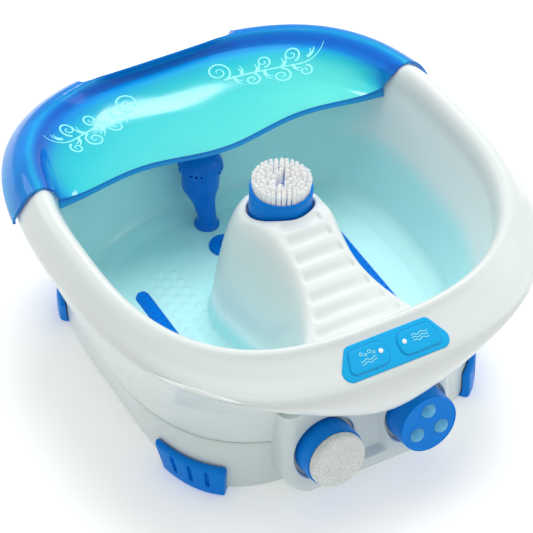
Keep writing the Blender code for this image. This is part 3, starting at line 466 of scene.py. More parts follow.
def settings(node, values):
    """Set sockets of a node by their names."""
    for socket, value in values.items():
        node.inputs[socket].default_value = value


def noise(tree, scale, detail=4.0, roughness=0.55, stretch=None):
    """A noise texture in object space, in metres, optionally stretched along an axis."""
    place = tree.nodes.new("ShaderNodeTexCoord").outputs["Object"]
    texture = tree.nodes.new("ShaderNodeTexNoise")
    settings(texture, {"Scale": scale, "Detail": detail, "Roughness": roughness})
    if stretch:
        mapping = tree.nodes.new("ShaderNodeMapping")
        settings(mapping, {"Scale": stretch})
        tree.links.new(place, mapping.inputs["Vector"])
        place = mapping.outputs["Vector"]
    tree.links.new(place, texture.inputs["Vector"])
    return texture.outputs["Fac"]


def stored_value(tree, name, cloud, share):
    """A number kept on the points, made a little uneven by a share of the cloud."""
    stored = tree.nodes.new("ShaderNodeAttribute")
    stored.attribute_name = name
    uneven = tree.nodes.new("ShaderNodeMath")
    uneven.operation = "MULTIPLY_ADD"
    uneven.inputs[1].default_value = share
    tree.links.new(cloud, uneven.inputs[0])
    tree.links.new(stored.outputs["Fac"], uneven.inputs[2])
    return uneven.outputs["Value"]


def colour_by(tree, shader, source, stops):
    """Colour the surface through a ramp of (position, colour) stops."""
    made = tree.nodes.new("ShaderNodeValToRGB")
    elements = made.color_ramp.elements
    while len(elements) < len(stops):
        elements.new(0.5)
    for element, (position, colour) in zip(elements, stops):
        element.position = position
        element.color = (*colour, 1.0)
    tree.links.new(source, made.inputs["Fac"])
    tree.links.new(made.outputs["Color"], shader.inputs["Base Color"])


def vary(tree, source, socket, low, high):
    spread = tree.nodes.new("ShaderNodeMapRange")
    settings(spread, {"From Min": 0.3, "From Max": 0.7, "To Min": low, "To Max": high})
    tree.links.new(source, spread.inputs["Value"])
    tree.links.new(spread.outputs["Result"], socket)


def bump(tree, shader, source, height):
    made = tree.nodes.new("ShaderNodeBump")
    settings(made, {"Distance": height, "Strength": 1.0})
    tree.links.new(source, made.inputs["Height"])
    tree.links.new(made.outputs["Normal"], shader.inputs["Normal"])


def tint(colour, factor):
    return tuple(min(channel * factor, 1.0) for channel in colour)


def moulded(name, colour, rough, grain=900.0, relief=0.00002, coat=0.0, spread=0.04, scatter=0.0, shine=0.4):
    """Moulded plastic: a faint cloudiness in its colour, uneven gloss and a fine pebbled skin."""
    made, tree, shader = start_material(name)
    stops = ((0.3, tint(colour, 1.0 - spread)), (0.7, tint(colour, 1.0 + spread)))
    colour_by(tree, shader, noise(tree, 18.0, 5.0), stops)
    vary(tree, noise(tree, 25.0, 3.0), shader.inputs["Roughness"], rough * 0.95, rough * 1.06)
    bump(tree, shader, noise(tree, grain, 2.0), relief)
    settings(shader, {
        "Specular IOR Level": shine,
        "Coat Weight": coat,
        "Coat Roughness": 0.08,
        "Subsurface Weight": scatter,
        "Subsurface Radius": (0.004, 0.005, 0.006),
    })
    return made


def painted_light_basin_material(name, colour, inner, painted_aqua_light):
    """The body's white plastic, with painted light in the basin: paler on the inner walls, turning to a
    painted aqua tint low down and under the guard.
    """
    made = moulded(name, colour, **WHITE_FINISH)
    tree = made.node_tree
    # the stored value sets how much painted light a point takes: painted paler white inside, painted aqua
    # tint deeper in
    depth = stored_value(tree, "basin_painted_light", noise(tree, 12.0, 3.0), 0.03)
    colour_by(tree, tree.nodes["Principled BSDF"], depth, ((0.02, colour), (0.5, inner), (1.0, painted_aqua_light)))
    return made


def bristle_material():
    """White nylon that lets light through, with a faint painted glow that keeps the tufts bright between
    each other.
    """
    white = (0.95, 0.955, 0.955)
    made = moulded("nylon_filament", white, 0.5, grain=500.0, relief=0.00001, spread=0.01, scatter=0.25)
    # painted glow: the filaments give off a little light of their own
    painted_glow = {"Emission Color": (1.0, 1.0, 1.0, 1.0), "Emission Strength": 0.06}
    settings(made.node_tree.nodes["Principled BSDF"], painted_glow)
    return made


def guard_material():
    """Tinted see-through plastic coloured by a value stored on its points: painted deeper blue along edges
    and slopes, paler painted light in the trough and a painted highlight on the crest.
    """
    made, tree, shader = start_material("tinted_guard_plastic")
    depth = stored_value(tree, "guard_tint_painted_light", noise(tree, 14.0, 3.0), 0.10)
    # pale turquoise where painted light and highlight sit, deep blue where painted shade sits
    stops = (
        (0.05, (0.20, 1.0, 0.88)),
        (0.26, (0.03, 0.74, 0.84)),
        (0.46, (0.006, 0.45, 0.90)),
        (0.68, (0.001, 0.25, 0.86)),
        (1.0, (0.0, 0.12, 0.66)),
    )
    colour_by(tree, shader, depth, stops)
    vary(tree, noise(tree, 45.0, 5.0), shader.inputs["Roughness"], 0.07, 0.14)
    bump(tree, shader, noise(tree, 240.0, 2.0), 0.00002)
    settings(shader, {
        "Transmission Weight": 0.35,
        "IOR": 1.4,
        "Specular IOR Level": 0.3,
        "Coat Weight": 0.2,
        "Coat Roughness": 0.05,
    })
    return made


def pumice_material():
    made, tree, shader = start_material("pumice_grit")
    grain = noise(tree, 1900.0, 2.0, 0.6)
    stops = ((0.34, (0.34, 0.36, 0.35)), (0.44, (0.74, 0.78, 0.75)), (0.58, (0.95, 0.98, 0.96)))
    colour_by(tree, shader, grain, stops)
    vary(tree, noise(tree, 300.0), shader.inputs["Roughness"], 0.85, 1.0)
    bump(tree, shader, grain, 0.0006)
    return made


def pearl_material():
    """Milky see-through balls."""
    made, tree, shader = start_material("ball_pearl")
    stops = ((0.35, (0.08, 0.40, 0.70)), (0.65, (0.17, 0.52, 0.76)))
    colour_by(tree, shader, noise(tree, 90.0, 3.0), stops)
    vary(tree, noise(tree, 150.0), shader.inputs["Roughness"], 0.38, 0.5)
    milky = {"Subsurface Weight": 0.5, "Subsurface Radius": (0.002, 0.003, 0.004)}
    settings(shader, {"Specular IOR Level": 0.3, **milky})
    return made


def brushed_metal():
    made, tree, shader = start_material("brushed_metal")
    streak = noise(tree, 300.0, 4.0, 0.6, (1.0, 1.0, 0.05))
    colour_by(tree, shader, streak, ((0.3, (0.42, 0.42, 0.43)), (0.7, (0.66, 0.66, 0.67))))
    vary(tree, streak, shader.inputs["Roughness"], 0.25, 0.45)
    bump(tree, shader, streak, 0.00003)
    shader.inputs["Metallic"].default_value = 1.0
    return made


def board_material():
    """Green laminate with a pale hint of tracks."""
    made, tree, shader = start_material("board_laminate")
    tracks = noise(tree, 420.0, 1.0, 0.3, (0.15, 1.0, 1.0))
    stops = ((0.48, (0.015, 0.17, 0.07)), (0.54, (0.05, 0.30, 0.12)))
    colour_by(tree, shader, tracks, stops)
    vary(tree, noise(tree, 80.0), shader.inputs["Roughness"], 0.35, 0.5)
    bump(tree, shader, tracks, 0.00005)
    return made


WHITE_FINISH = {
    "rough": 0.25,
    "grain": 700.0,
    "relief": 0.000003,
    "coat": 0.2,
    "spread": 0.006,
    "scatter": 0.05,
}

looks = {
    # the skirt, base pan and dock take a greyer mix of the tub's white: painted shade on the lower body
    "white": moulded("white_gloss_plastic_painted_shade", (0.66, 0.735, 0.72), **WHITE_FINISH),
    # the tub: its inner colour and its aqua tint are painted light, not the plastic's own colour
    "basin": painted_light_basin_material(
        "white_basin_plastic_painted_light",
        colour=(0.74, 0.785, 0.77),
        inner=(0.92, 0.955, 0.95),
        painted_aqua_light=(0.58, 0.93, 0.94),
    ),
    "azure": moulded("azure_plastic", (0.0, 0.215, 0.76), 0.34, 800.0, 0.00001, spread=0.03, shine=0.12),
    "panel": moulded("panel_plastic", (0.012, 0.41, 0.80), 0.4, 1400.0, spread=0.03, shine=0.15),
    "print": moulded("pale_print", (0.42, 0.90, 0.88), 0.45, 1200.0, 0.00001),
    "lamp": moulded("lamp_lens", (0.95, 0.96, 0.96), 0.2, 500.0, 0.00001, 0.3, 0.01, 0.2),
    "deep": moulded("deep_blue_plastic", (0.0, 0.17, 0.70), 0.3, 700.0, shine=0.2),
    "swirl": moulded("swirl_bead", (0.34, 0.98, 0.97), 0.2, 300.0, 0.00001, coat=0.2),
    "bristle": bristle_material(),
    "rubber": moulded("soft_rubber", (0.10, 0.10, 0.11), 0.75, 1800.0, 0.00006, spread=0.15),
    "black": moulded("black_plastic", (0.03, 0.03, 0.032), 0.5, 1500.0, 0.00005, spread=0.2),
    "guard": guard_material(),
    "pumice": pumice_material(),
    "pearl": pearl_material(),
    "metal": brushed_metal(),
    "board": board_material(),
}


# ---------- tub
def ridge_height(x, y):
    """Height of the moulded centre ridge over a point of the floor plan."""
    post = POST_Z + POST_TILT * (y - POST_Y)
    run = np.maximum(y - RIDGE_FOOT_Y, 0.0) / RIDGE_RUN
    spine = smooth_min(post, RIDGE_FOOT_Z + RIDGE_CLIMB * run ** 1.45, 6.0)
    from_waist = np.minimum(y, POST_Y) - RIDGE_WAIST_Y
    to_post = np.maximum(from_waist, 0.0) / (POST_Y - RIDGE_WAIST_Y)
    to_rim = np.maximum(-from_waist, 0.0) / 80.0
    half = RIDGE_WAIST_HALF + 8.5 * to_post ** 1.5 + 38.0 * to_rim ** 2.0
    reach = np.hypot(x, np.maximum(y - POST_Y, 0.0))
    out = np.maximum(reach - half, 0.0)
    return spine - 0.004 * x * x - 0.0577 * out ** 2.3


def rib_relief(x, y):
    """Soft round-ended channels that leave the ribs of the ridge standing."""
    cut_in = np.zeros_like(x)
    for middle, half in RIB_GROOVES:
        bend = middle + 0.0022 * x * x
        past_end = np.maximum(np.abs(x) - half, 0.0)
        upper_side = np.where(y > bend, 1.7, 1.0)
        away = np.hypot(past_end, (y - bend) / upper_side)
        cut_in += np.exp(-((away / RIB_WIDTH) ** 2.6))
    return -RIB_DEPTH * cut_in


def massage_relief(x, y):
    """Rows of low domes under each foot, staggered."""
    across = np.abs(x) - 55.0
    column = np.clip(np.round(across / BUMP_PITCH), 0, 2)
    shift = np.where(column % 2 == 1, BUMP_PITCH * 0.5, 0.0)
    row = np.clip(np.round((y - shift) / BUMP_PITCH), -6, 6)
    away = np.hypot(across - column * BUMP_PITCH, y - shift - row * BUMP_PITCH)
    return BUMP_RISE * smooth_step(1.0 - away / (BUMP_R + 1.2))


def apron_share(x):
    """The apron under the front rim is deepest in the middle and fades out towards the sides."""
    run = np.hypot(x, APRON_ROUND) - APRON_ROUND
    return smooth_max(1.0 - run / (APRON_HALF - APRON_ROUND), 0.0, 0.06)


def back_share(y):
    return smooth_step((y - DROP_START_Y) / (DROP_END_Y - DROP_START_Y))


def rim_rows(angle):
    """From the outer lip over the rim and down the inner wall."""
    rows = []
    for index, row in enumerate(spline_rows(TUB_SECTION, SECTION_STEPS)):
        side, side_z, front, front_z, back, back_z, power = row
        x, y = outline(side, front, back, power, angle)
        pull = np.interp(index / SECTION_STEPS, np.arange(len(RIM_PULL)), RIM_PULL)
        fall = mix(apron_share(x), np.abs(y / front) ** HEIGHT_EASE, pull)
        share = np.where(y > 0.0, back_share(y), fall)
        z = side_z + (np.where(y > 0.0, back_z, front_z) - side_z) * share
        inside = smooth_step((index / SECTION_STEPS - INNER_WALL_ROW) / 1.3)
        z = z + (with_ridge(x, y, z) - z) * inside
        rows.append(points_of(x, y, z))
    return rows


def floor_rows(angle):
    """Over the floor and up the ridge to the socket's edge."""
    edge = TUB_SECTION[-1]
    rows = []
    for step in range(1, FLOOR_ROWS + 1):
        share = (1.0 - step / FLOOR_ROWS) ** 1.7
        half = mix(SOCKET_R, edge[0], share)
        front = mix(SOCKET_R, edge[2], share)
        back = mix(SOCKET_R, edge[4], share)
        x, y = outline(half, front, back, mix(2.0, edge[6], share), angle)
        y = y + mix(POST_Y, 0.0, share)
        z = with_ridge(x, y, FLOOR_Z) + massage_relief(x, y)
        rows.append(points_of(x, y, z - socket_edge(x, y)))
    return rows


def with_ridge(x, y, z):
    """Blend the ridge into the floor or wall under it, with its ribs."""
    ridge = ridge_height(x, y)
    raised = smooth_max(z, ridge, FLOOR_FILLET)
    on_ridge = smooth_step(1.0 - (raised - ridge) / 6.0)
    return raised + rib_relief(x, y) * on_ridge


def socket_edge(x, y):
    """How far the post's top edge is rounded off next to its socket."""
    soft = 2.2
    past = np.clip(soft - (np.hypot(x, y - POST_Y) - SOCKET_R), 0.0, soft)
    return soft - np.sqrt(soft * soft - past * past)


def socket_rows(rim):
    """The round socket in the post's top: down its wall, then over its floor."""
    floor_z = POST_Z - SOCKET_DEPTH
    middle = np.array([0.0, POST_Y])
    made = []
    steps = ((0.0, 0.3), (0.1, 0.6), (0.2, 0.9), (0.6, 0.98), (1.4, 1.0), (14.0, 1.0), (27.0, 1.0))
    for narrow, share in steps:
        scale = (SOCKET_R - narrow) / SOCKET_R
        flat = middle + (rim[:, :2] - middle) * scale
        z = mix(rim[:, 2], floor_z, share)
        made.append(np.column_stack([flat, z]))
    return made


def basin_painted_light(rows):
    """How much painted light each point of the tub takes: paler inside, turning to a painted aqua tint low
    down and in the guard's shadow, less on the ridge.
    """
    x, y, z = rows[:, :, 0], rows[:, :, 1], rows[:, :, 2]
    # painted light: an aqua tint low in the basin, and the guard's coloured shadow painted on the wall under
    # it
    low_down = smooth_step((128.0 - z) / 30.0)
    painted_guard_shadow = smooth_step((y - 70.0) / 50.0) * smooth_step((150.0 - z) / 12.0)
    inside = smooth_step((np.arange(len(rows)) / SECTION_STEPS - 12.0) / 0.8)[:, None]
    off_ridge = 1.0 - smooth_step((ridge_height(x, y) - FLOOR_Z - 6.0) / 34.0)
    return inside * (0.5 + 0.5 * np.maximum(low_down, painted_guard_shadow) * off_ridge) * mix(0.15, 1.0, off_ridge)


def make_tub():
    angle = spread_angles(TUB_COLUMNS)
    rows = rim_rows(angle) + floor_rows(angle)
    rows = np.array(rows + socket_rows(rows[-1]))
    tub = rows_object("tub_moulding", rows, caps=(False, True), smooth=50.0)
    # keep the basin's painted light on the points for its material
    store_values(tub, "basin_painted_light", basin_painted_light(rows))
    thicken(tub, SHELL, 50.0)
    dress(tub, "base", "white_plastic", looks["basin"], "tub")


# ---------- lower body
def body_points(z, inset, angle):
    """Points of the lower body's outside at heights z, moved in by inset."""
    levels = BODY_SECTION[:, 0]
    half, front, back, power = (np.interp(z, levels, BODY_SECTION[:, index]) for index in (1, 2, 3, 4))
    x = (half - inset) * signed_power(np.cos(angle), 2.0 / power)
    depth = np.where(np.sin(angle) > 0.0, back, front) - inset
    y = depth * signed_power(np.sin(angle), 2.0 / power)
    return points_of(x, y, z)


def skirt_top(angle):
    """The skirt's top edge keeps just under the tub's lip, so it is found step by step."""
    side, front, back = SKIRT_TOP_Z
    z = np.full_like(angle, side)
    for _ in range(12):
        spot = body_points(z, 0.0, angle)
        share = np.where(spot[:, 1] > 0.0, back_share(spot[:, 1]), apron_share(spot[:, 0]))
        goal = side + (np.where(spot[:, 1] > 0.0, back, front) - side) * share
        z = mix(z, goal, 0.6)
    return z


def make_skirt():
    angle = spread_angles(360, 0.0)
    low = SEAM_Z + 0.3
    top = skirt_top(angle)
    levels = [(low, 0.9), (low + 0.25, 0.35), (low + 0.9, 0.0)]
    levels += [(mix(low + 0.9, top, step / 24.0), 0.0) for step in range(1, 25)]
    levels += [(top, 2.5), (mix(low, top, 0.6), 2.5), (mix(low, top, 0.3), 2.5), (low, 2.5)]
    rows = [body_points(z, inset, angle) for z, inset in levels]
    skirt = rows_object("skirt_moulding", rows, wrap_rows=True)
    dress(skirt, "base", "white_plastic", looks["white"], "side_skirt")


def make_pan():
    angle = spread_angles(360, 0.0)
    top = SEAM_Z - 0.15
    bottom = PAN_BOTTOM_Z
    section = [(bottom, 4.0), (bottom, 3.0), (bottom + 0.35, 1.5), (bottom + 1.2, 0.45), (bottom + 2.4, 0.0)]
    section += [(mix(bottom + 2.4, top - 0.9, step / 14.0), 0.0) for step in range(1, 15)]
    section += [(top - 0.25, 0.35), (top, 0.9), (top, 2.5), (bottom + 2.5, 2.5)]
    rows = [body_points(z, inset, angle) for z, inset in section]
    pan = rows_object("base_pan_moulding", rows, caps=(True, True))
    low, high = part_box("blower_housing")
    blower_y = (low.y + high.y) * 0.5 / MM
    cutters = []
    for slot in range(7):
        x = (slot - 3) * 7.0
        for end in (-13.0, 13.0):
            name = "vent_%d_%d" % (slot, end)
            y = blower_y + end
            cutters.append(rod(name, (x, y - 9.0, 4.0), (x, y + 9.0, 4.0), 1.3, 12))
    for number in range(1, 5):
        low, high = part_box("base_screw_%d" % number)
        x = (low.x + high.x) * 0.5 / MM
        y = (low.y + high.y) * 0.5 / MM
        cutters.append(rod("screw_well_%d" % number, (x, y, -1.0), (x, y, 2.6 + PAN_BOTTOM_Z), 4.6, 32))
    cut(pan, cutters)
    dress(pan, "base", "white_plastic", looks["white"], "base_pan")


def foot_section(height, reach):
    """Closed outline of the foot band as (outward, up): inside, over the top, down, the toe."""
    lip = PAN_BOTTOM_Z - 0.6
    outer = [(FOOT_GAP, height), (reach - 2.0, height), (reach, height - 2.6), (reach + 0.3, 2.0)]
    toe = [(reach - 1.0, 0.0), (-FOOT_TOE, 0.0), (-FOOT_TOE, lip), (FOOT_GAP, lip)]
    rough = soften([(FOOT_GAP, 14.0)] + outer + toe + [(FOOT_GAP, 12.0)], 1.8, 6)
    fine = []
    for (out_a, up_a), (out_b, up_b) in zip(rough, rough[1:]):
        steps = 36 if abs(up_b - up_a) > 9.0 and out_a > reach - 1.0 else 1
        fine += [(mix(out_a, out_b, step / steps), mix(up_a, up_b, step / steps)) for step in range(steps)]
    return fine + [rough[-1]]


def foot_groove(along, up, outward, reach):
    """Three short upright grip slots pressed into the outer face."""
    depth = 0.0
    for middle in (0.25, 0.5, 0.75):
        away = hypot((along - middle) * 62.0, max(abs(up - 16.0) - 6.0, 0.0))
        depth += float(smooth_step((2.1 - away) / 0.9))
    facing = min(max((outward - reach + 2.4) / 1.2, 0.0), 1.0)
    return FOOT_SLOT_DEPTH * min(depth, 1.0) * facing


def make_foot(label, side_x, side_y):
    rows = []
    for along in shares_of(190):
        angle = side_y * mix(FOOT_STARTS[side_y], FOOT_END, along)
        edge = min(along, 1.0 - along) * FOOT_LENGTH
        reach = FOOT_REACH - 1.6 * rounding(edge / 1.6)
        height = FOOT_HEIGHT - 3.2 * rounding(edge / 4.0)
        row = []
        for out, z in foot_section(height, reach):
            out -= foot_groove(along, z, out, reach)
            spot = body_points(max(z, PAN_BOTTOM_Z), -out, np.array([angle]))[0]
            row.append((side_x * float(spot[0]), float(spot[1]), z))
        rows.append(row)
    if side_x * side_y < 0:
        rows.reverse()
    foot = rows_object("grip_foot_" + label, rows, caps=(True, True), smooth=40.0)
    dress(foot, "base", "azure_plastic", looks["azure"], "foot_" + label)


# ---------- accessory dock and its heads
def dock_front(x, z):
    plane = CUP_MOUTH_Y + tan(CUP_TILT) * (z - CUP_MOUTH_Z)
    under = np.maximum(30.0 - z, 0.0) / 26.0
    side = np.clip((np.abs(x) - 66.0) / (DOCK_HALF - 66.0), 0.0, 1.0)
    rounded = 12.0 * (1.0 - np.sqrt(np.maximum(1.0 - side ** 2.6, 0.0)))
    across = smooth_step((17.0 - np.abs(x)) / 8.0)
    ledge = smooth_step((z - 21.0) / 5.0)
    return plane + 8.0 * under * under + rounded + 7.5 * across * ledge


def dock_back(x, z):
    half, front, power = (np.interp(z, BODY_SECTION[:, 0], BODY_SECTION[:, index]) for index in (1, 2, 4))
    return -front * (1.0 - np.abs(x / half) ** power) ** (1.0 / power) + 1.0


def make_dock():
    swing = np.linspace(-pi * 0.5, pi * 0.5, 150)
    rows = []
    for share in shares_of(76):
        z = mix(DOCK_BOTTOM_Z, DOCK_TOP_Z, share)
        low = max(34.0 - z, 0.0) / 30.0
        half = DOCK_HALF - 16.0 * low * low
        x = half * np.sin(swing)
        back = dock_back(x, z)
        front = np.minimum(dock_front(x * DOCK_HALF / half, z), back - 2.0)
        rows.append(points_of(np.append(x, x[::-1]), np.append(front, back[::-1]), z))
    dock = rows_object("dock_moulding", rows, caps=(True, True))
    mouth = -CUP_SHOWN
    profile = [
        (0.0, -CUP_LENGTH - 1.0),
        (CUP_R + 2.6, -CUP_LENGTH - 1.0),
        (CUP_R + 2.6, mouth - 3.0),
        (CUP_R + 2.9, mouth - 1.4),
        (CUP_R + 3.7, mouth - 0.2),
        (CUP_R + 5.2, mouth + 0.6),
        (CUP_R + 5.2, 12.0),
        (0.0, 12.0),
    ]
    cutters = []
    for side in (-1.0, 1.0):
        at = (side * CUP_X, CUP_FACE[0], CUP_FACE[1])
        cutters.append(lathe("socket_%d" % side, profile, at, CUP_TURN, 120))
    cut(dock, cutters, 40.0)
    dress(dock, "base", "white_plastic", looks["white"], "accessory_dock")


def cup_profile(face, inner, rim):
    outer = [(inner, face), (inner + 0.8, rim), (CUP_R - 0.3, rim), (CUP_R, rim - 3.0), (CUP_R, -CUP_LENGTH)]
    inside = [(CUP_R - 2.4, -CUP_LENGTH), (CUP_R - 2.4, -12.0), (0.0, -12.0)]
    return list(reversed(soften([(0.0, face)] + outer + inside, 0.7)))


def make_pumice_head():
    at = (-CUP_X, CUP_FACE[0], CUP_FACE[1])
    cup = lathe("pumice_head_cup", cup_profile(-9.0, CUP_R - 2.6, -4.6), at, CUP_TURN, 128)
    dress(cup, "pumice_head", "azure_plastic", looks["azure"], "pumice_cup")
    coins = random.Random(5)
    radius = CUP_R - 1.5
    profile = [(0.0, -8.6), (CUP_R - 3.0, -8.6), (CUP_R - 3.0, -4.4), (radius, -4.4), (radius, -0.4)]
    profile = soften(profile + [(radius - 1.0, 1.2), (radius - 4.0, 2.2), (0.0, 2.8)], 0.8, 4)
    fine = []
    for (r0, z0), (r1, z1) in zip(profile, profile[1:]):
        steps = max(1, int(hypot(r1 - r0, z1 - z0) / 0.5))
        fine += [(mix(r0, r1, step / steps), mix(z0, z1, step / steps)) for step in range(steps)]
    fine.append(profile[-1])

    def grit(angle, index, ring_r, ring_z):
        shown = min(max((ring_z[0] + 4.0) / 1.0, 0.0), 1.0)
        inward = min(ring_r[0] / 8.0, 1.0)
        rough = np.array([coins.uniform(-1.0, 1.0) for _ in angle]) * 0.12 * shown * inward
        return ring_r + rough * (ring_r > 2.0), ring_z + rough

    stone = lathe("pumice_disc", fine, at, CUP_TURN, 220, grit, 80.0)
    dress(stone, "pumice_head", "pumice", looks["pumice"], "pumice_stone")


def make_roller_head():
    at = (CUP_X, CUP_FACE[0], CUP_FACE[1])
    cup = lathe("roller_head_cup", cup_profile(-0.3, CUP_R - 1.8, 0.0), at, CUP_TURN, 128)
    seats = []
    for number in range(1, 4):
        node = "roller_ball_%d" % number
        low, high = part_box(node)
        centre = (low + high) * 0.5 / MM
        seats.append(lathe("seat_%d" % number, ball_profile(BALL_R + 0.2, 24), centre, CUP_TURN, 48))
        ball = lathe("massage_ball_%d" % number, ball_profile(BALL_R, 36), centre, CUP_TURN, 64)
        dress(ball, "ball_%d" % number, "ball_plastic", looks["pearl"], node)
    cut(cup, seats)
    dress(cup, "roller_head", "azure_plastic", looks["azure"], "roller_cup")


def ball_profile(radius, rows):
    turns = [pi * share for share in shares_of(rows)]
    return [(radius * sin(turn), -radius * cos(turn)) for turn in turns]


# ---------- brush
def make_brush():
    at = (0.0, POST_Y, 0.0)
    low = POST_Z - SOCKET_DEPTH + 1.0
    rim = BRUSH_RIM_Z
    profile = [
        (0.0, low),
        (BRUSH_R - 1.2, low),
        (BRUSH_R - 0.2, low + 2.0),
        (BRUSH_R - 0.4, rim - 6.0),
        (BRUSH_R, rim - 1.5),
        (BRUSH_R - 0.9, rim),
        (BRUSH_R - 2.4, rim - 0.3),
        (BRUSH_R - 2.8, rim - 5.7),
        (0.0, rim - 5.7),
    ]
    cup = lathe("brush_head_cup", soften(profile, 0.8), at, None, 128)
    dress(cup, "brush", "azure_plastic", looks["azure"], "brush_cup")
    bristles = filament_mesh("brush_filaments", rim - 5.9, at)
    dress(bristles, "brush", "bristle", looks["bristle"], "brush_bristles")


def filament_mesh(name, low, at):
    """Tufts of nylon in rings; each tuft is a tight bundle of tapered five-sided filaments."""
    coins = random.Random(11)
    points = []
    faces = []
    for ring, count in TUFT_RINGS:
        for number in range(count):
            turn = 2.0 * pi * (number + 0.5 * (count % 2)) / count
            base = Vector((ring * cos(turn), ring * sin(turn), low))
            lean = Vector((cos(turn), sin(turn), 0.0)) * (0.5 + 0.6 * ring / 22.0)
            stray = Vector((coins.uniform(-0.9, 0.9), coins.uniform(-0.9, 0.9), 0.0))
            lean += stray * (1.0 if ring < 18.0 else 0.35)
            top = BRISTLE_Z - coins.uniform(0.0, 1.2) - (1.0 if ring < 12.0 else 0.0)
            for _ in range(TUFT_FILAMENTS):
                add_filament(points, faces, coins, base, lean, top, at)
    return new_object(name, points, faces, 60.0)


def add_filament(points, faces, coins, base, lean, top, at):
    spin = coins.uniform(0.0, 2.0 * pi)
    away = TUFT_R * sqrt(coins.random())
    offset = Vector((cos(spin), sin(spin), 0.0)) * away
    splay = offset * 0.1 + Vector((coins.uniform(-0.1, 0.1), coins.uniform(-0.1, 0.1), 0.0))
    tip_z = top - 0.45 * away * away - coins.uniform(0.0, 0.5)
    first = len(points)
    for share, radius in ((0.0, FILAMENT_R), (0.55, FILAMENT_R), (0.93, 0.42), (1.0, 0.22)):
        centre = base + offset + (lean + splay) * share * share
        centre.z = mix(base.z, tip_z, share)
        for side in range(FILAMENT_SIDES):
            angle = spin + side * 2.0 * pi / FILAMENT_SIDES
            x = centre.x + at[0] + radius * cos(angle)
            y = centre.y + at[1] + radius * sin(angle)
            points.append((x, y, centre.z))
    add_tube_faces(faces, first, 4, FILAMENT_SIDES)


# ---------- jet nozzle and floor fittings
def make_jet():
    at = (0.0, JET_Y, 0.0)
    make_jet_column()
    dome = [(0.0, 0.0), (JET_HEAD_R - 3.0, 0.0), (JET_HEAD_R - 0.6, 0.8), (JET_HEAD_R, 2.4)]
    for step in range(1, 29):
        turn = pi * 0.5 * step / 29.0
        dome.append((JET_HEAD_R * cos(turn) ** 0.85, 3.0 + JET_DOME * sin(turn)))
    dome.append((0.0, 3.0 + JET_DOME))
    dome = [(radius, height + JET_HEAD_Z) for radius, height in dome]

    def dimples(angle, index, ring_r, ring_z):
        height = ring_z[0] - JET_HEAD_Z
        scallop = 0.9 * hump(height, 2.5, 3.2) * (np.abs(np.sin(angle * 8.0)) - 0.5)
        band = (height - 5.0) / 3.1
        count = max(4, int(round(ring_r[0] * 1.5)))
        pattern = np.cos(angle * count + pi * round(band)) * cos(2.0 * pi * band)
        knob = 0.55 * np.maximum(pattern, 0.0) ** 2 if height > 3.5 and ring_r[0] > 3.0 else 0.0
        return ring_r + scallop + knob * 0.8, ring_z + knob * 0.6

    head = lathe("jet_head_dome", dome, at, None, 256, dimples, 60.0)
    nozzles = []
    for side in (-1.0, 1.0):
        for fan_out in (-14.0, 0.0, 14.0):
            aim = radians(-90.0 + side * 40.0 + fan_out)
            reach = Vector((cos(aim), sin(aim), 0.0))
            base = Vector((0.0, JET_Y, JET_HEAD_Z + 5.6))
            name = "nozzle_%d_%d" % (side, fan_out)
            nozzles.append(rod(name, base + reach * 13.0, base + reach * 26.0, 1.2, 20))
    cut(head, nozzles, 45.0)
    dress(head, "jet_nozzle", "deep_plastic", looks["deep"], "jet_head")


def make_jet_column():
    """A round column that leans back and widens as it rises to the nozzle."""
    top = box_mm("jet_column")[1].z
    profile = [(11.0, FLOOR_Z + 0.2), (11.0, 52.0), (8.8, 54.0), (8.0, 60.0), (10.0, 72.0), (13.5, 79.0)]
    profile += [(16.2, 84.5), (16.4, 90.0), (16.4, top - 2.5), (15.2, top)]
    turn = np.arange(96) * 2.0 * pi / 96.0
    rows = []
    for radius, z in soften(profile, 2.0):
        middle = mix(JET_FOOT_Y, JET_Y, float(smooth_step((z - 56.0) / 30.0)))
        rows.append(points_of(radius * np.cos(turn), middle + radius * np.sin(turn), z))
    column = rows_object("jet_column_moulding", rows, caps=(True, True))
    dress(column, "base", "deep_plastic", looks["deep"], "jet_column")


def strip_ring(y, low, high):
    """One ring across an air strip: its domed top with the outlets, then its flat underside."""
    half = (high.x - low.x) * 0.5
    base = FLOOR_Z + 0.1
    end = max(1.0 - min(y - low.y, high.y - y) / half, 0.0)
    across = np.linspace(-1.0, 1.0, 41)
    x = across * half * sqrt(max(1.0 - end * end, 0.002))
    crown = (high.z - base) * (1.0 - np.abs(across) ** 5.0) * sqrt(max(1.0 - end ** 5.0, 0.0))
    past = y - OUTLET_PITCH * round(y / OUTLET_PITCH)
    for line in (-OUTLET_LINE, OUTLET_LINE):
        away = np.hypot(x - line, past)
        crown = crown - OUTLET_DEPTH * smooth_step(1.0 - away / OUTLET_R) * (end < 0.5)
    x = x + (low.x + high.x) * 0.5
    upper = points_of(x, y, base + np.maximum(crown, 0.02))
    lower = points_of(x, y, base - 0.6)
    return np.concatenate([upper, lower[::-1]])


def make_strips():
    """Long raised air strips with two lines of small outlets."""
    for label in ("left", "right"):
        node = "bubble_strip_" + label
        low, high = box_mm(node)
        rows = [strip_ring(mix(low.y, high.y, share), low, high) for share in shares_of(232)]
        strip = rows_object("air_strip_" + label, rows, caps=(True, True), smooth=40.0)
        dress(strip, "base", "deep_plastic", looks["deep"], node)


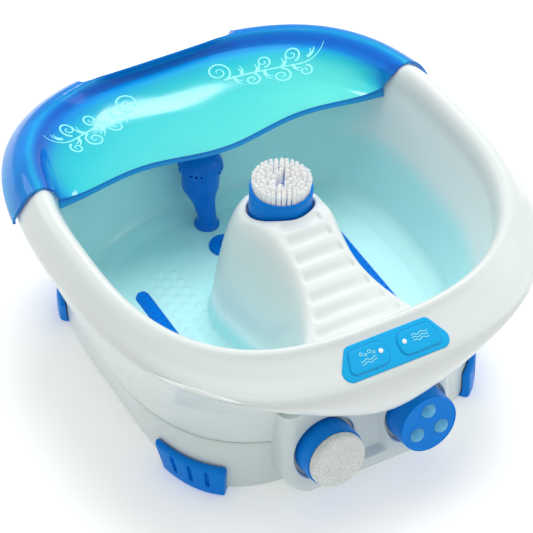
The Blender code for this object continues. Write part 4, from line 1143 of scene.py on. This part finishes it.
# ---------- splash guard
def flange_rows():
    """The rolled flange from its outer edge over the crest to the trough, with its tints, which carry
    painted light and shade.
    """
    shares = np.linspace(0.0, 1.0, GUARD_COLUMNS)
    to_side = np.abs(2.0 * shares - 1.0) ** 1.5
    rows = []
    tints = []
    for index, (side, side_z, back, back_z, power, notch_y) in enumerate(spline_rows(GUARD_SECTION, 8)):
        start = asin((GUARD_END_Y / back) ** (power * 0.5))
        x, y = outline(side, back, back, power, mix(start, pi - start, shares))
        z = side_z + (back_z - side_z) * (y / back) ** HEIGHT_EASE
        notch = smooth_step((NOTCH_HALF - np.abs(x)) / NOTCH_RAMP)
        y = mix(y, np.minimum(y, notch_y), notch)
        rows.append(points_of(x, y, z))
        row = index / 8.0
        # painted highlight: the crest is paler, more so towards the ends; painted shade: a dark line at the
        # outer edge and a deeper inner slope, with a painted light line just inside the edge
        crest = (0.10 + 0.12 * to_side) * hump(row, 4.1, 0.42)
        painted_edge_shade_and_highlight = 0.20 * hump(row, 0.0, 0.35) - 0.14 * hump(row, 1.0, 0.4)
        tints.append(0.58 - crest + painted_edge_shade_and_highlight + 0.26 * hump(row, 5.3, 0.45))
    return rows, tints


def trough_rows(border):
    """The sagging trough between the flange and the waved front edge, with its tints, which carry painted
    light and shade.
    """
    across = border[:, 0] / border[0, 0]
    wave = np.cos(2.0 * pi * across)
    front_half, front_y, front_z = GUARD_FRONT
    wave_y, wave_z = GUARD_WAVE
    rise = GUARD_END_RISE * across ** 6
    front = points_of(front_half * across, front_y - wave_y * wave, front_z - wave_z * wave + rise)
    length = np.linalg.norm(front - border, axis=1)
    rows = []
    tints = []
    for step in range(1, TROUGH_ROWS + 1):
        share = step / TROUGH_ROWS
        line = mix(border, front, share)
        line[:, 2] -= TROUGH_SAG * 4.0 * share * (1.0 - share) * (1.0 - across ** 4)
        rows.append(line)
        from_back = length * share
        from_side = (1.0 - np.abs(across)) * 160.0
        # painted shade: deeper blue along the trough's back and side borders and towards the back and left;
        # painted light: paler and greener towards the front and right
        edge = np.exp(-np.minimum(from_back / 8.0, from_side / 7.0))
        painted_trough_shading = 0.15 * np.exp(-from_back / 50.0) - 0.07 * across
        tints.append(0.08 + painted_trough_shading + 0.40 * edge)
    return rows, tints


def lip_rows(front):
    """The lip turned down along the front edge, deeper at its two ends, with its tints: painted shade on its
    top row and painted light lower down.
    """
    across = front[:, 0] / front[0, 0]
    deepen = 1.0 + 1.1 * np.abs(across) ** 10
    rows = []
    tints = []
    # fixed tint values row by row: painted shade at the top, painted light below
    for drop, back_step, tint_value in ((0.5, 0.1, 0.8), (1.2, 0.4, 0.6), (3.0, 1.1, 0.42), (4.4, 1.6, 0.5)):
        lowered = front.copy()
        lowered[:, 1] -= back_step
        lowered[:, 2] -= drop * deepen
        rows.append(lowered)
        tints.append(np.full(GUARD_COLUMNS, tint_value))
    return rows, tints


def guard_skin():
    """Rows of the guard's outer face and the tint value at each point, which carries painted light and
    shade.
    """
    flange, flange_tints = flange_rows()
    trough, trough_tints = trough_rows(flange[-1])
    lip, lip_tints = lip_rows(trough[-1])
    return np.array(flange + trough + lip), np.array(flange_tints + trough_tints + lip_tints)


def make_guard():
    rows, tints = guard_skin()
    guard = rows_object("splash_guard_shell", rows, wrap=False, smooth=40.0)
    # keep the guard's tints, painted light and shade included, on the points for its material
    store_values(guard, "guard_tint_painted_light", tints)
    thicken(guard, GUARD_WALL, 40.0)
    dress(guard, "guard", "tinted_plastic", looks["guard"], "splash_guard")
    faces = grid_faces(rows.shape[0], rows.shape[1], False)
    surface = BVHTree.FromPolygons(rows.reshape(-1, 3).tolist(), faces)
    make_swirls(surface)


# scrollwork of one side: spirals as (centre, radius, start, turns), leaves as (root, aim, size)
SCROLLS = (
    ((44.0, 172.0), 10.5, -80.0, 1.7),
    ((66.0, 150.0), 6.5, 50.0, -1.4),
    ((90.0, 141.0), 8.0, 65.0, -1.5),
    ((84.0, 164.0), 6.0, -110.0, 1.4),
    ((108.0, 157.0), 7.0, -95.0, 1.5),
    ((110.0, 135.0), 5.5, 60.0, -1.3),
)
LEAVES = (
    ((60.0, 160.0), 70.0, 11.0),
    ((72.0, 156.5), 52.0, 13.0),
    ((95.0, 150.5), 50.0, 12.0),
    ((54.0, 161.0), -80.0, 11.0),
    ((80.0, 154.0), -85.0, 12.0),
    ((104.0, 147.0), -72.0, 11.0),
    ((118.0, 147.0), 25.0, 10.0),
)


def spiral(centre, radius, start, turns, steps=36):
    """Points of a scroll that winds in to its centre from an angle."""
    made = []
    for share in shares_of(steps):
        angle = start + turns * 2.0 * pi * share
        reach = radius * (1.0 - share) ** 0.8 + 0.6
        made.append((centre[0] + reach * cos(angle), centre[1] + reach * sin(angle)))
    return made


def arc_through(first, middle, last, steps=18):
    """A gently bowed stem between two points."""
    made = []
    for t in shares_of(steps):
        x = (1.0 - t) ** 2 * first[0] + 2.0 * t * (1.0 - t) * middle[0] + t * t * last[0]
        y = (1.0 - t) ** 2 * first[1] + 2.0 * t * (1.0 - t) * middle[1] + t * t * last[1]
        made.append((x, y))
    return made


def swirl_lines():
    """The scrollwork of one side, as (points, thick end, thin end), for the right half."""
    yield arc_through((44.0, 161.5), (78.0, 158.0), (108.0, 145.0), 30), 1.0, 0.7
    yield arc_through((108.0, 145.0), (122.0, 139.5), (135.0, 148.0), 18), 0.7, 0.3
    for spot, radius, start, turns in SCROLLS:
        yield spiral(spot, radius, radians(start), turns), 0.95, 0.4
    for spot, aim, size in LEAVES:
        yield leaf(spot, radians(aim), size), 1.5, 0.25
        yield leaf(spot, radians(aim + 16.0), size * 0.8), 1.2, 0.25


def leaf(start, aim, size):
    end = (start[0] + size * cos(aim), start[1] + size * sin(aim))
    bow = (start[0] + size * 0.6 * cos(aim - 0.7), start[1] + size * 0.6 * sin(aim - 0.7))
    return arc_through(start, bow, end, 14)


def make_swirls(surface):
    """Lay the scrollwork on the guard's trough as low raised beads, mirrored left and right."""
    for side, label in ((1.0, "right"), (-1.0, "left")):
        points = []
        faces = []
        for line, thick, thin in swirl_lines():
            add_bead(points, faces, surface, [(side * x, y) for x, y in line], thick, thin)
        swirl = new_object("guard_scroll_" + label, points, faces, 60.0)
        dress(swirl, "guard", "tinted_plastic", looks["swirl"])


def add_bead(points, faces, surface, line, thick, thin):
    spots = []
    for x, y in line:
        spot, normal, _, _ = surface.ray_cast(Vector((x, y, 300.0)), Vector((0.0, 0.0, -1.0)))
        if spot is not None:
            spots.append((spot, normal if normal.z > 0.0 else -normal))
    first = len(points)
    for index, (spot, normal) in enumerate(spots):
        ahead = spots[min(index + 1, len(spots) - 1)][0] - spots[max(index - 1, 0)][0]
        across = ahead.cross(normal).normalized()
        radius = mix(thick, thin, index / (len(spots) - 1.0))
        for side in range(BEAD_SIDES):
            angle = 2.0 * pi * side / BEAD_SIDES
            shift = across * (radius * cos(angle)) + normal * (radius * 0.5 * sin(angle))
            points.append(spot + shift)
    add_tube_faces(faces, first, len(spots), BEAD_SIDES)


# ---------- control panel
def panel_spot(x, v, out):
    middle = Vector((0.0, (PANEL_TOP[0] + PANEL_BOTTOM[0]) * 0.5, (PANEL_TOP[1] + PANEL_BOTTOM[1]) * 0.5))
    return middle + PANEL_TURN @ Vector((x, v, out))


def rounded_outline(corners, radii, steps=10):
    points = []
    count = len(corners)
    for index in range(count):
        corner = Vector(corners[index])
        before = (Vector(corners[index - 1]) - corner).normalized()
        after = (Vector(corners[(index + 1) % count]) - corner).normalized()
        half_angle = before.angle(after) * 0.5
        reach = radii[index] / tan(half_angle)
        centre = corner + (before + after).normalized() * (radii[index] / sin(half_angle))
        first = corner + before * reach - centre
        last = corner + after * reach - centre
        for share in shares_of(steps):
            points.append(centre + first.lerp(last, share).normalized() * radii[index])
    return points


def bezel_outline(grow):
    half_v = PANEL_LENGTH * 0.5 + grow
    top = PANEL_TOP_HALF + grow
    bottom = PANEL_BOTTOM_HALF + grow
    right = [(bottom, -half_v), (bottom, -4.0), (top, half_v)]
    corners = [(-bottom, -half_v)] + right + [(-top, half_v), (-bottom, -4.0)]
    return rounded_outline(corners, [max(radius + grow, 1.0) for radius in (8.0, 8.0, 7.0, 6.0, 6.0, 7.0)])


def button_outline(side, grow):
    inner = 5.0 - grow
    outer_low = 42.5 + grow
    outer_high = 36.5 + grow
    half_v = BUTTON_HALF_V + grow
    corners = [(inner, -half_v), (outer_low, -half_v), (outer_high, half_v), (inner, half_v)]
    radii = [7.0 + grow, 5.0 + grow, 5.0 + grow, 8.0 + grow]
    if side < 0.0:
        corners = [(-x, v) for x, v in reversed(corners)]
        radii.reverse()
    return rounded_outline(corners, radii)


def layered(name, outlines, heights):
    """A soft-edged plate on the panel's plane, from outlines and their heights."""
    rows = []
    for points, height in zip(outlines, heights):
        rows.append([panel_spot(point.x, point.y, height) for point in points])
    return rows_object(name, rows, caps=(True, True), smooth=30.0)


def make_panel():
    edges = ((0.0, BEZEL_LOW - 1.2), (0.0, 0.25), (-0.18, 0.58), (-0.5, 0.8), (-1.0, BEZEL_HIGH))
    outlines = [bezel_outline(grow) for grow, _ in edges]
    bezel = layered("panel_plate", outlines, [height for _, height in edges])
    cutters = []
    for side in (-1.0, 1.0):
        points = button_outline(side, 0.3)
        cutters.append(layered("key_window_%d" % side, [points, points], (-6.0, 6.0)))
    cut(bezel, cutters, 30.0)
    dress(bezel, "base", "panel_plastic", looks["panel"], "panel_bezel")
    for side, label in ((-1.0, "heat"), (1.0, "jet")):
        make_key(side, label)


def make_key(side, label):
    body = label + "_key"
    steps = [(0.0, BUTTON_LOW - 1.0), (0.0, 1.1), (-0.25, 1.55)]
    steps += [(-0.8, 1.95), (-1.6, 2.15), (-2.4, BUTTON_HIGH)]
    outlines = [button_outline(side, grow) for grow, _ in steps]
    heights = [height for _, height in steps]
    middle = Vector((side * 22.5, 0.0))
    for share, dip in ((0.75, 0.08), (0.5, 0.16), (0.25, 0.2)):
        outlines.append([middle.lerp(point, share) for point in outlines[5]])
        heights.append(BUTTON_HIGH - dip)
    key = layered(label + "_key_cap", outlines, heights)
    dress(key, body, "panel_plastic", looks["panel"], label + "_button")
    lens_at = panel_spot(side * LAMP_X, BUTTON_V, BUTTON_HIGH - 1.0)
    profile = [(0.0, 0.0), (LAMP_R, 0.0), (LAMP_R, 0.75)]
    profile += [(LAMP_R - 0.3, 1.15), (LAMP_R * 0.5, 1.4), (0.0, 1.5)]
    lens = lathe(label + "_lamp_lens", soften(profile, 0.25), lens_at, PANEL_TURN, 48)
    dress(lens, body, "lamp_plastic", looks["lamp"], label + "_lamp")
    marks = key_marks(side, label)
    dress(marks, body, "lamp_plastic", looks["print"])


def key_marks(side, label):
    """Plain printed signs: rising bubbles over a warm wave for heat, three streams for the jet."""
    points = []
    faces = []
    start = 18.0
    lines = (4.0, 1.6, -0.8)
    if label == "heat":
        start = 16.0
        lines = (-1.2, -3.6)
        for x, v, radius in ((16.5, 2.6, 1.0), (20.0, 4.3, 1.4), (24.0, 2.8, 1.0), (27.5, 4.4, 1.2)):
            turns = [2.0 * pi * share for share in shares_of(24)]
            ring = [(side * x + radius * cos(turn), v + radius * sin(turn)) for turn in turns]
            add_stroke(points, faces, ring, 0.24)
    for v in lines:
        wave = []
        for share in shares_of(40):
            wave.append((side * (start + 14.0 * share), v + 0.7 * sin(share * 4.0 * pi)))
        add_stroke(points, faces, wave, 0.26)
    return new_object(label + "_key_mark", points, faces, 30.0)


def add_stroke(points, faces, line, half):
    """A thin flat raised stroke along a line on the key's top."""
    low = BUTTON_HIGH - 0.45
    high = BUTTON_HIGH + 0.04
    first = len(points)
    for index, (x, v) in enumerate(line):
        ahead = Vector(line[min(index + 1, len(line) - 1)]) - Vector(line[max(index - 1, 0)])
        normal = Vector((-ahead.y, ahead.x)).normalized() * half
        for sign, out in ((-1.0, low), (1.0, low), (1.0, high), (-1.0, high)):
            points.append(panel_spot(x + sign * normal.x, v + sign * normal.y, out))
    add_tube_faces(faces, first, len(line), 4)


# ---------- underside and inner pieces
def make_pads():
    for label, _, _ in CORNERS:
        node = "pad_" + label
        low, high = box_mm(node)
        at = ((low.x + high.x) * 0.5, (low.y + high.y) * 0.5, 0.0)
        profile = [(0.0, 0.5), (2.5, 0.5), (2.9, 0.0), (4.2, 0.0), (4.6, 0.5), (5.4, 0.5)]
        profile += [(5.8, 0.0), (7.2, 0.0), (8.0, 1.0), (8.0, high.z), (0.0, high.z)]
        pad = lathe("anti_slip_" + node, soften(profile, 0.25, 3), at, None, 72)
        dress(pad, "base", "rubber_black", looks["rubber"], node)


def make_gland():
    low, high = box_mm("cord_gland")
    at = ((low.x + high.x) * 0.5, high.y, (low.z + high.z) * 0.5)
    profile = [(2.4, -14.0), (5.0, -14.0), (5.0, -5.2), (8.4, -5.2), (8.0, -3.2), (6.0, -2.4)]
    for ring in range(3):
        profile += [(5.6 - 0.35 * ring, -2.2 + ring * 0.9), (4.9 - 0.35 * ring, -1.9 + ring * 0.9)]
    profile += [(4.2, 0.0), (2.4, 0.0)]
    turn = Matrix.Rotation(radians(-90.0), 4, "X")
    gland = lathe("cord_gland_sleeve", soften(profile, 0.3, 3), at, turn, 64)
    dress(gland, "base", "black_plastic", looks["black"], "cord_gland")


def paint_inner_nodes():
    """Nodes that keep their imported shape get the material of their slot."""
    by_slot = {
        "rubber_black": looks["rubber"],
        "black_plastic": looks["black"],
        "steel": looks["metal"],
        "board": looks["board"],
        "deep_plastic": looks["deep"],
    }
    slots = {row["node"]: row["material_slot"] for row in frame["record"]["subparts"]}
    for name, node in frame["nodes"].items():
        if node.hide_render or slots[name] not in by_slot:
            continue
        node.data.materials.clear()
        node.data.materials.append(by_slot[slots[name]])


# ---------- studio
CAMERA_AZIMUTH = radians(-31.38)
CAMERA_ELEVATION = radians(43.5)
CAMERA_ROLL = radians(2.5)
CAMERA_DISTANCE = 2.232
CAMERA_TARGET = Vector((0.0, 0.0055, 0.0849))
CAMERA_LENS = 180.3


def make_camera():
    data = bpy.data.cameras.new("camera")
    data.lens = CAMERA_LENS
    data.sensor_width = 36.0
    camera = bpy.data.objects.new("camera", data)
    bpy.context.scene.collection.objects.link(camera)
    swing = Matrix.Rotation(CAMERA_AZIMUTH, 4, "Z")
    raise_up = Matrix.Rotation(radians(90.0) - CAMERA_ELEVATION, 4, "X")
    roll = Matrix.Rotation(CAMERA_ROLL, 4, "Z")
    back_off = Matrix.Translation((0.0, 0.0, CAMERA_DISTANCE))
    camera.matrix_world = Matrix.Translation(CAMERA_TARGET) @ swing @ raise_up @ roll @ back_off
    bpy.context.scene.camera = camera


def area_light(name, place, target, size, power):
    data = bpy.data.lights.new(name, "AREA")
    data.shape = "DISK"
    data.size = size
    data.energy = power
    light = bpy.data.objects.new(name, data)
    bpy.context.scene.collection.objects.link(light)
    light.location = place
    light.rotation_euler = (Vector(target) - Vector(place)).to_track_quat("-Z", "Y").to_euler()
    return light


def make_studio():
    half = 6.0
    corners = [(-half, -half, 0.0), (half, -half, 0.0), (half, half, 0.0), (-half, half, 0.0)]
    floor = new_object("studio_floor", np.array(corners) / MM, [(0, 1, 2, 3)])
    made, tree, shader = start_material("pale_floor")
    stops = ((0.3, (0.93, 0.93, 0.93)), (0.7, (0.95, 0.95, 0.95)))
    colour_by(tree, shader, noise(tree, 3.0), stops)
    settings(shader, {
        "Emission Color": (1.0, 1.0, 1.0, 1.0),
        "Emission Strength": 0.26,
        "Roughness": 0.9,
        "Specular IOR Level": 0.1,
    })
    floor.data.materials.append(made)
    world = bpy.data.worlds.new("studio")
    world.use_nodes = True
    settings(world.node_tree.nodes["Background"], {"Color": (0.97, 1.0, 0.995, 1.0), "Strength": 0.54})
    bpy.context.scene.world = world
    centre = (0.0, 0.0, 0.1)
    key = area_light("key_above", (0.35, 0.45, 2.1), centre, 1.5, 29.0)
    key.visible_glossy = False
    area_light("fill_right", (1.8, -0.9, 1.2), centre, 1.2, 5.0)
    area_light("rim_back", (-1.0, 2.0, 1.3), centre, 1.0, 4.0)
    area_light("glint_back", (0.85, 1.4, 1.6), centre, 0.3, 2.6)
    bpy.context.scene.view_settings.view_transform = "Standard"


# ---------- assembly
make_camera()
make_tub()
make_skirt()
make_pan()
make_dock()
for corner_label, corner_x, corner_y in CORNERS:
    make_foot(corner_label, corner_x, corner_y)
make_pumice_head()
make_roller_head()
make_brush()
make_jet()
make_strips()
make_guard()
make_panel()
make_pads()
make_gland()
paint_inner_nodes()
make_studio()
